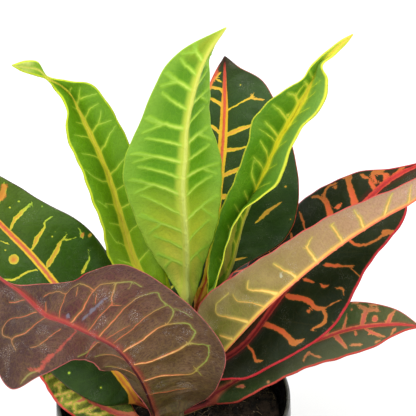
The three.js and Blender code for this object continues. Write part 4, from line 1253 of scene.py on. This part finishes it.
def middle_layer(leaf, blade, grid, relief):
    """Places of the blade's middle layer, and the way its upper face looks at each of them."""
    x = grid.x
    spread = blade.edge[grid.side] - blade.middle
    blend = np.clip(x / RIB_BLEND, 0, 1)[..., None]
    blend = blend * blend * (3 - 2 * blend)
    facing = blade.rib_facing[:, None] * (1 - blend) + blade.facing[grid.side][:, None] * blend
    facing = unit(facing)

    # Where the two halves meet in a fold, the fold's bottom is rounded.
    tilt = (unit(spread) * blade.rib_facing).sum(1)[:, None]
    bend = np.minimum(leaf["bend"], 0.3 * grid.reach)
    fillet = tilt * (np.sqrt(x ** 2 + bend ** 2) - x) * grid.flatness

    base = blade.middle[:, None] + spread[:, None] * grid.f[..., None]
    centre = base + facing * relief[..., None] + blade.rib_facing[:, None] * fillet[..., None]
    return centre, facing


def layer_heights(leaf, blade, grid, vein_gap):
    """How far the upper and the lower face stand off the middle layer, in mm."""
    x, reach, rim, rib_width = grid.x, grid.reach, grid.rim, grid.rib_width
    fade = (1 - blade.progress)[:, None]
    in_rim = ((grid.f - (1 - rim)) / rim).clip(0, 1)
    thick = BLADE_HALF_THICKNESS * np.sqrt(np.clip(1 - in_rim ** 2, 0, 1))
    stalk = np.sqrt(np.clip(reach ** 2 - x ** 2, 0, None)) * grid.round ** 1.5
    stalk = np.minimum(stalk, STALK_RADIUS * STALK_SWELLING)
    bell = np.clip(1 - (x / np.maximum(rib_width * 1.1, 0.7)) ** 2, 0, 1) ** 1.5
    rib_below = (RIB_BELOW_TIP + RIB_BELOW_STALK * fade) * bell * np.minimum(1, reach / FULL_RIB_WIDTH)
    crest = leaf["crest"] * np.exp(-(x / np.maximum(0.7 * rib_width, 0.6)) ** 2)
    crest = crest * grid.flatness * np.minimum(1, reach / FULL_CREST_WIDTH)
    full = grid.flatness * (thick > 0)
    groove = GROOVE_DEPTH * np.exp(-(vein_gap / GROOVE_REACH) ** 2) * full
    ridge = RIDGE_HEIGHT * np.exp(-(vein_gap / RIDGE_REACH) ** 2) * full
    top = soft_max(thick, stalk) + crest * grid.flatness - groove
    bottom = soft_max(thick, stalk) + rib_below * (1 - grid.round ** 2) + ridge
    top[:, -1] = bottom[:, -1] = 0
    return top, bottom


def half_blade(leaf, blade, side, share, lines, random, number):
    """The upper and lower surface of one half of a leaf, and the measures on its points."""
    grid = half_grid(leaf, blade, side, share)
    fields = vein_fields(grid, *lines)
    relief = blade_relief(leaf, blade, grid, fields, random, number)
    centre, facing = middle_layer(leaf, blade, grid, relief)
    top, bottom = layer_heights(leaf, blade, grid, fields["vein_gap"])
    fields.update(
        rib_depth=grid.rib_width - grid.x + 4 * grid.round ** 2,
        edge_gap=(1 - grid.f) * grid.reach,
        outward=grid.f,
        along=np.broadcast_to(blade.progress[:, None], grid.x.shape),
        flat=np.stack([grid.across, grid.y, np.zeros_like(grid.x)], -1),
    )
    return centre + facing * top[..., None], centre - facing * bottom[..., None], fields


def upper_row(left, right):
    """Points of both halves from the left edge to the right edge."""
    return np.concatenate([left[:, ::-1], right[:, 1:]], axis=1)


def lower_row(left, right):
    """Points of both halves from the right edge back to the left one, without the edges."""
    return upper_row(left, right)[:, 1:-1][:, ::-1]


def leaf_faces(rows, columns):
    """Faces round a leaf, with its two ends closed, and the material number of each."""
    ring = 4 * columns
    index = np.arange(rows * ring).reshape(rows, ring)
    near, far = index[:-1], index[1:]
    quads = np.stack([near, np.roll(near, -1, axis=1), np.roll(far, -1, axis=1), far], -1)
    faces = quads.reshape(-1, 4).tolist()
    is_lower = np.broadcast_to(np.arange(ring) >= 2 * columns, quads.shape[:2])
    slots = is_lower.reshape(-1).astype(int).tolist()
    for end, is_start in ((index[0], True), (index[-1], False)):
        for k in range(2 * columns):
            strip = [end[k], end[k + 1], end[ring - k - 1], end[(ring - k) % ring]]
            corners = list(dict.fromkeys(int(v) for v in strip))
            faces.append(corners[::-1] if is_start else corners)
            slots.append(0)
    return faces, slots


def place_piece(name, mesh, slot, *nodes):
    """Put a piece into the scene, riding on the part, in place of the nodes that it replaces."""
    piece = bpy.data.objects.new(name, mesh)
    bpy.context.scene.collection.objects.link(piece)
    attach(piece, "root")
    if nodes:
        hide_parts(*nodes)
    return piece


def make_leaf(name, leaf, number, materials):
    leaf = {**PLAIN_LEAF, **leaf}
    random = np.random.default_rng(LEAF_SEED + number)
    hidden = name.startswith("leaf_back_") and name != "leaf_back_centre"
    blade = Blade(leaf, HIDDEN_ROW_SPACING if hidden else ROW_SPACING)
    widest = max(blade.reach["L"].max(), blade.reach["R"].max())
    column_spacing = HIDDEN_COLUMN_SPACING if hidden else COLUMN_SPACING
    columns = int(np.clip(widest / column_spacing, FEWEST_COLUMNS, MOST_COLUMNS))
    share = np.linspace(0, 1, columns + 1)
    lines = [blade.flat_veins(leaf, kind, random) for kind in ("veins", "lines", "patches")]
    left, right = (half_blade(leaf, blade, side, share, lines, random, number) for side in "LR")

    verts = np.concatenate([upper_row(left[0], right[0]), lower_row(left[1], right[1])], axis=1)
    faces, slots = leaf_faces(len(blade.places), columns)
    mesh = bpy.data.meshes.new(name + "_fine")
    mesh.from_pydata((verts.reshape(-1, 3) * MM).tolist(), [], faces)
    for material in materials:
        mesh.materials.append(material)
    mesh.polygons.foreach_set("material_index", slots)
    mesh.polygons.foreach_set("use_smooth", [True] * len(faces))
    for field in left[2]:
        both = left[2][field], right[2][field]
        values = np.concatenate([upper_row(*both), lower_row(*both)], axis=1)
        kind, key = ("FLOAT_VECTOR", "vector") if field == "flat" else ("FLOAT", "value")
        layer = mesh.attributes.new(field, kind, "POINT")
        layer.data.foreach_set(key, np.ascontiguousarray(values, np.float32).ravel())
    mesh.update()
    place_piece(name + "_blade", mesh, leaf["slot"], name)


# ---- pot, soil and stem ----

def inner_radius(height):
    share = (height - POT_FLOOR) / (SKIRT - POT_FLOOR)
    return POT_FOOT_RADIUS - POT_WALL + (POT_BODY_TOP_RADIUS - POT_FOOT_RADIUS) * share


def arc(centre, radius, start, end, steps):
    """Points of a profile along an arc, with angles in degrees."""
    turns = [math.radians(start + (end - start) * k / steps) for k in range(steps + 1)]
    return [(centre[0] + radius * math.cos(turn), centre[1] + radius * math.sin(turn)) for turn in turns]


def circle(radius, height, sides, centre=(0, 0)):
    turns = [2 * math.pi * k / sides for k in range(sides)]
    return [(centre[0] + radius * math.cos(t), centre[1] + radius * math.sin(t), height) for t in turns]


def lofted(name, rings, material):
    """A closed mesh through rings of points in mm, from one end point to the other."""
    build = bmesh.new()
    first, last = (build.verts.new(np.asarray(ring, float) * MM) for ring in (rings[0], rings[-1]))
    loops = [[build.verts.new(np.asarray(point, float) * MM) for point in ring] for ring in rings[1:-1]]
    sides = len(loops[0])
    for k in range(sides):
        after = (k + 1) % sides
        build.faces.new((first, loops[0][after], loops[0][k]))
        for low, high in zip(loops, loops[1:]):
            build.faces.new((low[k], low[after], high[after], high[k]))
        build.faces.new((last, loops[-1][k], loops[-1][after]))
    bmesh.ops.recalc_face_normals(build, faces=build.faces)
    mesh = bpy.data.meshes.new(name)
    build.to_mesh(mesh)
    build.free()
    mesh.materials.append(material)
    mesh.polygons.foreach_set("use_smooth", [True] * len(mesh.polygons))
    return mesh


def plastic_material():
    n = Nodes("black_plastic", 0.3, 0.5)
    place = n.place()
    height = n.axis(place, "Z")
    # Painted reflection: a patchy grey band along the top of the lip, for the bright room that it mirrors.
    lip_reflection = n.smooth(height, (POT_HEIGHT - LIP_REFLECTION_DEPTH) * MM, POT_HEIGHT * MM, 0.0, 0.75)
    patchy_lip_reflection = n.math("MULTIPLY", lip_reflection, n.smooth(n.noise(place, 260, 3), 0.3, 0.6, 0.5, 1.0))
    colour = n.mix(n.smooth(n.noise(place, 60, 3), 0.4, 0.8), (9, 9, 10), (19, 19, 20))
    n.colour(n.mix(patchy_lip_reflection, colour, (92, 92, 86)))
    n.rough(n.smooth(n.noise(place, 90, 3), 0.3, 0.7, 0.24, 0.36))
    n.bump(n.noise(place, 900, 3), 0.00005)
    return n.material


def pot_profile():
    """The pot's wall as (radius, height), from its foot up the outside and down to its floor."""
    foot = (POT_FOOT_RADIUS - POT_FOOT_ROUNDING, POT_FOOT_ROUNDING)
    lip = (RIM_TOP_WIDTH - 0.1) / 2
    lip_centre = (RIM_RADIUS - lip, POT_HEIGHT - lip)
    band_inside = RIM_RADIUS + RIM_FLARE - POT_WALL
    band_top = SKIRT + RIM_BAND_DEPTH
    band_foot = (RIM_RADIUS + RIM_FLARE - POT_WALL / 2, SKIRT + 0.3)
    profile = [(POT_FOOT_RADIUS - 1.2, 0)]
    profile += arc(foot, POT_FOOT_ROUNDING, -90, -10, 5)
    profile += [(POT_BODY_TOP_RADIUS, band_top - 0.4), (POT_BODY_TOP_RADIUS + 0.3, band_top)]
    profile += [(band_inside, band_top), (band_inside, SKIRT + 0.25)]
    profile += arc(band_foot, POT_WALL / 2, -160, -10, 6)
    profile += arc(lip_centre, lip, 5, 175, 10)
    profile += [(RIM_RADIUS - RIM_TOP_WIDTH, SKIRT + 2.5), (inner_radius(SKIRT) - 0.1, SKIRT - 0.5)]
    profile += [(inner_radius(height), height) for height in (SKIRT - 12, POT_FLOOR + 1.5)]
    profile += [(inner_radius(POT_FLOOR) - 1.2, POT_FLOOR)]
    return profile


def link_blank(name, mesh):
    """A helper object that shapes a piece and is removed again."""
    blank = bpy.data.objects.new(name, mesh)
    bpy.context.scene.collection.objects.link(blank)
    return blank


def make_pot():
    rings = [circle(radius, height, POT_SIDES) for radius, height in pot_profile()]
    shell = lofted("pot_shell", [(0, 0, 0), *rings, (0, 0, POT_FLOOR)], plastic_material())
    pot = link_blank("pot_blank", shell)
    drills = []
    for hole in range(DRAIN_HOLES):
        turn = 2 * math.pi * hole / DRAIN_HOLES
        centre = (DRAIN_RING_RADIUS * math.cos(turn), DRAIN_RING_RADIUS * math.sin(turn))
        ends = (-POT_FLOOR, 2 * POT_FLOOR)
        rings = [circle(DRAIN_RADIUS, height, DRAIN_SIDES, centre) for height in ends]
        mesh = lofted("drill", [(*centre, ends[0]), *rings, (*centre, ends[1])], shell.materials[0])
        drills.append(link_blank("drill", mesh))
        cut = pot.modifiers.new("drain", "BOOLEAN")
        cut.object = drills[-1]
        cut.operation = "DIFFERENCE"
        cut.solver = "EXACT"
    graph = bpy.context.evaluated_depsgraph_get()
    mesh = bpy.data.meshes.new_from_object(pot.evaluated_get(graph))
    for blank in (*drills, pot):
        bpy.data.objects.remove(blank)
    mesh.polygons.foreach_set("use_smooth", [True] * len(mesh.polygons))
    mesh.set_sharp_from_angle(angle=math.radians(POT_SHARP_ANGLE))
    place_piece("pot_moulded", mesh, "pot_plastic", "pot")


def soil_material():
    n = Nodes("potting_mix", 0.85, 0.2)
    place = n.place()
    clump = n.smooth(n.noise(place, 260, 4, 0.65), 0.35, 0.7)
    colour = n.mix(clump, (17, 14, 12), (60, 48, 37))
    grains = n.smooth(n.noise(place, 1400, 2), 0.6, 0.75, 0.0, 0.6)
    n.colour(n.mix(grains, colour, (96, 80, 60)))
    n.bump(n.noise(place, 700, 4, 0.7), 0.0006)
    return n.material


def blotchy_material(name, scale, dark, light):
    """A dull material between two colours, for the specks and the fibres."""
    n = Nodes(name, 0.7, 0.3)
    n.colour(n.mix(n.noise(n.place(), scale, 2), dark, light))
    return n.material


def soil_height(x, y):
    """The soil's gently uneven top, with its crumbly surface."""
    waves = math.sin(x * 0.31 + y * 0.13) + math.sin(y * 0.37 - x * 0.17)
    crumble = SOIL_CRUMBLE * noise.fractal((x * 0.45, y * 0.45, 3.0), 1.0, 2.1, 4)
    return SOIL_TOP + SOIL_ROUGHNESS * waves / 2 + crumble


def from_stem(x, y):
    return math.hypot(x - STEM_BASE[0], y - STEM_BASE[1])


def soil_fill_rings():
    """Rings of the filling, from the bottom of the stem's hole over the top and down the wall."""
    foot = STEM_BASE[2] - CLEARANCE
    turns = np.linspace(0, 2 * math.pi, SOIL_SIDES, endpoint=False)
    rings = [(STEM_BASE[0], STEM_BASE[1], foot), circle(STEM_HOLE, foot, SOIL_SIDES, STEM_BASE[:2])]
    for share in np.linspace(0, 1, SOIL_RINGS + 1):
        radius = STEM_HOLE + (SOIL_RADIUS - STEM_HOLE) * share
        x = STEM_BASE[0] * (1 - share) + radius * np.cos(turns)
        y = STEM_BASE[1] * (1 - share) + radius * np.sin(turns)
        rings.append([(a, b, soil_height(a, b)) for a, b in zip(x, y)])
    bottom = POT_FLOOR + CLEARANCE
    rings.append(circle(inner_radius(SHOULDER_HEIGHT) - CLEARANCE, SHOULDER_HEIGHT, SOIL_SIDES))
    rings.append(circle(inner_radius(bottom) - CLEARANCE - 0.1, bottom, SOIL_SIDES))
    rings.append((0, 0, bottom))
    return rings


def random_spot(random):
    """A place on the soil, clear of the wall and the stem."""
    while True:
        radius = (SOIL_RADIUS - 1.5) * math.sqrt(random.uniform())
        turn = random.uniform(0, 2 * math.pi)
        x, y = radius * math.cos(turn), radius * math.sin(turn)
        if from_stem(x, y) > STEM_HOLE + 2:
            return x, y


def scatter(name, lumps, faces, material):
    """One mesh of many loose bits in mm, which all have the same faces."""
    size = len(lumps[0])
    all_faces = [[v + size * k for v in face] for k in range(len(lumps)) for face in faces]
    mesh = bpy.data.meshes.new(name)
    mesh.from_pydata((np.concatenate(lumps) * MM).tolist(), [], all_faces)
    mesh.materials.append(material)
    place_piece(name, mesh, "potting_mix")


def ball_shape():
    ball = bmesh.new()
    bmesh.ops.create_icosphere(ball, subdivisions=2, radius=1)
    verts = np.array([vert.co for vert in ball.verts])
    faces = [[vert.index for vert in face.verts] for face in ball.faces]
    ball.free()
    return verts, faces


def scatter_crumbs(name, random, count, smallest, largest, material):
    """Rough lumps of soil, squashed balls that lie half sunk on it."""
    verts, faces = ball_shape()
    lumps = []
    for _ in range(count):
        x, y = random_spot(random)
        size = random.uniform(smallest, largest) / 2
        turn = random.uniform(0, 2 * math.pi)
        lump = verts * random.uniform(0.6, 1.2, 3) * size
        lump = lump * random.uniform(0.82, 1.12, (len(lump), 1))
        c, s = math.cos(turn), math.sin(turn)
        lump = lump @ np.array([[c, s, 0], [-s, c, 0], [0, 0, 1]])
        lumps.append(lump + (x, y, soil_height(x, y) + CRUMB_STAND * size))
    scatter(name, lumps, faces, material)


def fibre_line(random, heading, bend, step, x, y):
    """The line of one root fibre, which wanders over the soil and turns from wall and stem."""
    line = []
    for k in range(FIBRE_POINTS):
        hump = FIBRE_HUMP * math.sin(math.pi * k / (FIBRE_POINTS - 1))
        line.append((x, y, soil_height(x, y) + FIBRE_LIFT + hump))
        heading += bend + random.normal(0, 0.18)
        ahead = x + step * math.cos(heading), y + step * math.sin(heading)
        if math.hypot(*ahead) > SOIL_RADIUS - 1 or from_stem(*ahead) < STEM_HOLE + 1:
            heading += math.pi / 2
            ahead = x + 0.2 * math.cos(heading), y + 0.2 * math.sin(heading)
        x, y = ahead
    return np.array(line)


def tube_faces():
    """Faces of one fibre: its two ends, then its sides."""
    sides, last = FIBRE_SIDES, FIBRE_SIDES * (FIBRE_POINTS - 1)
    faces = [list(range(sides))[::-1], list(range(last, last + sides))]
    for low in range(0, last, sides):
        for k in range(sides):
            after = (k + 1) % sides
            faces.append([low + k, low + after, low + sides + after, low + sides + k])
    return faces


def scatter_fibres(random, material):
    turns = np.linspace(0, 2 * math.pi, FIBRE_SIDES, endpoint=False)[None, :, None]
    fibres = []
    for _ in range(FIBRES):
        x, y = random_spot(random)
        heading, bend = random.uniform(0, 2 * math.pi), random.normal(0, 0.16)
        thick, step = random.uniform(0.06, 0.12), random.uniform(0.2, 0.8)
        line = fibre_line(random, heading, bend, step, x, y)
        run = np.gradient(line, axis=0)
        side = unit(np.stack([-run[:, 1], run[:, 0], np.zeros(FIBRE_POINTS)], -1))[:, None]
        taper = thick * np.linspace(1, 0.3, FIBRE_POINTS)[:, None, None]
        around = np.cos(turns) * side + np.sin(turns) * np.array([0, 0, 1])
        fibres.append((line[:, None] + taper * around).reshape(-1, 3))
    scatter("soil_fibres", fibres, tube_faces(), material)


def make_soil():
    """The pot's filling with a crumbly top, then loose crumbs and root fibres that lie on it."""
    material = soil_material()
    specks = blotchy_material("pale_specks", 900, (110, 90, 64), (186, 172, 148))
    roots = blotchy_material("root_fibres", 300, (110, 88, 60), (176, 156, 118))
    place_piece("soil_fill", lofted("soil_fill", soil_fill_rings(), material), "potting_mix", "soil")
    random = np.random.default_rng(SOIL_SEED)
    scatter_crumbs("soil_crumbs", random, **CRUMBS, material=material)
    scatter_crumbs("soil_specks", random, **SPECKS, material=specks)
    scatter_fibres(random, roots)


def bark_material():
    n = Nodes("stem_bark", 0.65, 0.3)
    place = n.place()
    height = n.axis(place, "Z")
    streaks = n.noise(n.stretch(place, 900, 900, 160), 1, 3, 0.6)
    woody = n.mix(n.smooth(streaks, 0.35, 0.7), (92, 80, 52), (146, 128, 88))
    green = n.mix(n.smooth(streaks, 0.3, 0.7), (92, 104, 44), (132, 142, 70))
    n.colour(n.mix(n.smooth(height, 0.088, 0.122), woody, green))
    n.bump(streaks, 0.0004)
    return n.material


def stem_growth(here, out, turn, starts):
    """How far the bark stands out at one point: roughness, scars, and swellings at the stalks."""
    level = here[2]
    grow = 0.18 * noise.fractal((out[0] * 3, out[1] * 3, level * 0.12), 1.0, 2.0, 3)
    grow += STEM_SCARS * max(0.0, math.sin(level * 0.9 + 0.6 * math.sin(turn * 2))) ** 6
    for start in starts:
        away = start - (0, 0, 1) - here
        grow += STEM_SWELLING * math.exp(-(away @ away) / 7)
    return grow


def bud_growth(level, turn):
    """The bud's three scales, which stand out most below its middle."""
    share = (level - STEM_TOP[2]) / BUD_LENGTH
    return BUD_SCALES * math.sin(3 * turn + level) * math.exp(-(share - 0.4) ** 2 / 0.06)


def stem_ring(level, starts):
    centre = stem_axis(level)
    in_bud = level > STEM_TOP[2]
    radius = stem_radius(level)
    if in_bud:
        radius = np.interp((level - STEM_TOP[2]) / BUD_LENGTH, *BUD_PROFILE)
    ring = []
    for k in range(STEM_SIDES):
        turn = 2 * math.pi * k / STEM_SIDES
        out = np.array([math.cos(turn), math.sin(turn), 0.0])
        here = centre + radius * out
        here[2] = level
        grow = 0.0
        if in_bud:
            grow = bud_growth(level, turn)
        elif level > STEM_SOIL[2]:
            grow = stem_growth(here, out, turn, starts)
        ring.append(here + grow * out)
    return ring


def make_stem():
    """A short woody stem with leaf scars, swollen where each leaf's stalk leaves it, and a bud."""
    starts = [np.array(leaf["sections"][0][0], float) for leaf in LEAVES.values()]
    top = STEM_TOP[2] + BUD_LENGTH
    levels = np.arange(STEM_BASE[2], STEM_TOP[2] + BUD_LENGTH * 0.98, STEM_STEP)
    tip = stem_axis(top)
    rings = [STEM_BASE, *(stem_ring(level, starts) for level in levels), (tip[0], tip[1], top)]
    place_piece("stem_wood", lofted("stem_wood", rings, bark_material()), "stem_bark", "stem")


STEM_HOLE = STEM_BASE_RADIUS + CLEARANCE
SHOULDER_HEIGHT = SOIL_TOP - SOIL_SHOULDER
SOIL_RADIUS = inner_radius(SHOULDER_HEIGHT) - SOIL_WALL_GAP

face_materials = {name: leaf_material("leaf_" + name, face) for name, face in FACES.items()}
for number, (name, leaf) in enumerate(LEAVES.items()):
    make_leaf(name, leaf, number, [face_materials[leaf["upper"]], face_materials[leaf["lower"]]])
make_pot()
make_soil()
make_stem()


# ---- stage ----

FLOOR_HALF_WIDTH = 6.0
FLOOR_DROP = 0.0005
WORLD_STRENGTH = 0.97
LIGHT_AIM = (0, 0, 0.15)
LIGHTS = (
    # name, place in m, width in m, power in W
    ("key", (-0.6, -0.6, 1.3), 0.9, 8),
    ("fill", (1.0, -0.5, 0.9), 0.8, 4),
    ("back", (0.1, 1.2, 1.1), 1.0, 5),
)
SENSOR_WIDTH = 36
FOCAL_PIXELS = 1100
PHOTO_WIDTH = 416
CAMERA_PLACE = (0.0155, -0.3788, 0.4192)
CAMERA_TILT = 31.5


def make_world(scene):
    world = bpy.data.worlds.new("studio")
    world.use_nodes = True
    background = world.node_tree.nodes["Background"]
    background.inputs["Color"].default_value = (1, 1, 1, 1)
    background.inputs["Strength"].default_value = WORLD_STRENGTH
    scene.world = world


def make_floor(scene):
    mesh = bpy.data.meshes.new("floor")
    half = FLOOR_HALF_WIDTH
    corners = [(-half, -half, 0), (half, -half, 0), (half, half, 0), (-half, half, 0)]
    mesh.from_pydata(corners, [], [(0, 1, 2, 3)])
    paper = Nodes("floor_paper", 0.9, 0.2)
    paper.colour((0.93, 0.93, 0.93, 1))
    mesh.materials.append(paper.material)
    floor = bpy.data.objects.new("floor", mesh)
    floor.location.z = -FLOOR_DROP
    scene.collection.objects.link(floor)


def make_light(scene, name, place, width, power):
    light = bpy.data.lights.new(name, "AREA")
    light.shape = "DISK"
    light.size = width
    light.energy = power
    lamp = bpy.data.objects.new(name, light)
    lamp.location = place
    aim = Vector(LIGHT_AIM) - Vector(place)
    lamp.rotation_euler = aim.to_track_quat("-Z", "Y").to_euler()
    scene.collection.objects.link(lamp)


def make_camera(scene):
    camera = bpy.data.cameras.new("camera")
    camera.sensor_width = SENSOR_WIDTH
    camera.lens = SENSOR_WIDTH * FOCAL_PIXELS / PHOTO_WIDTH
    holder = bpy.data.objects.new("camera", camera)
    holder.location = CAMERA_PLACE
    holder.rotation_euler = (math.radians(90 - CAMERA_TILT), 0, 0)
    scene.collection.objects.link(holder)
    scene.camera = holder


scene = bpy.context.scene
scene.view_settings.view_transform = "Standard"
make_world(scene)
make_floor(scene)
for light in LIGHTS:
    make_light(scene, *light)
make_camera(scene)
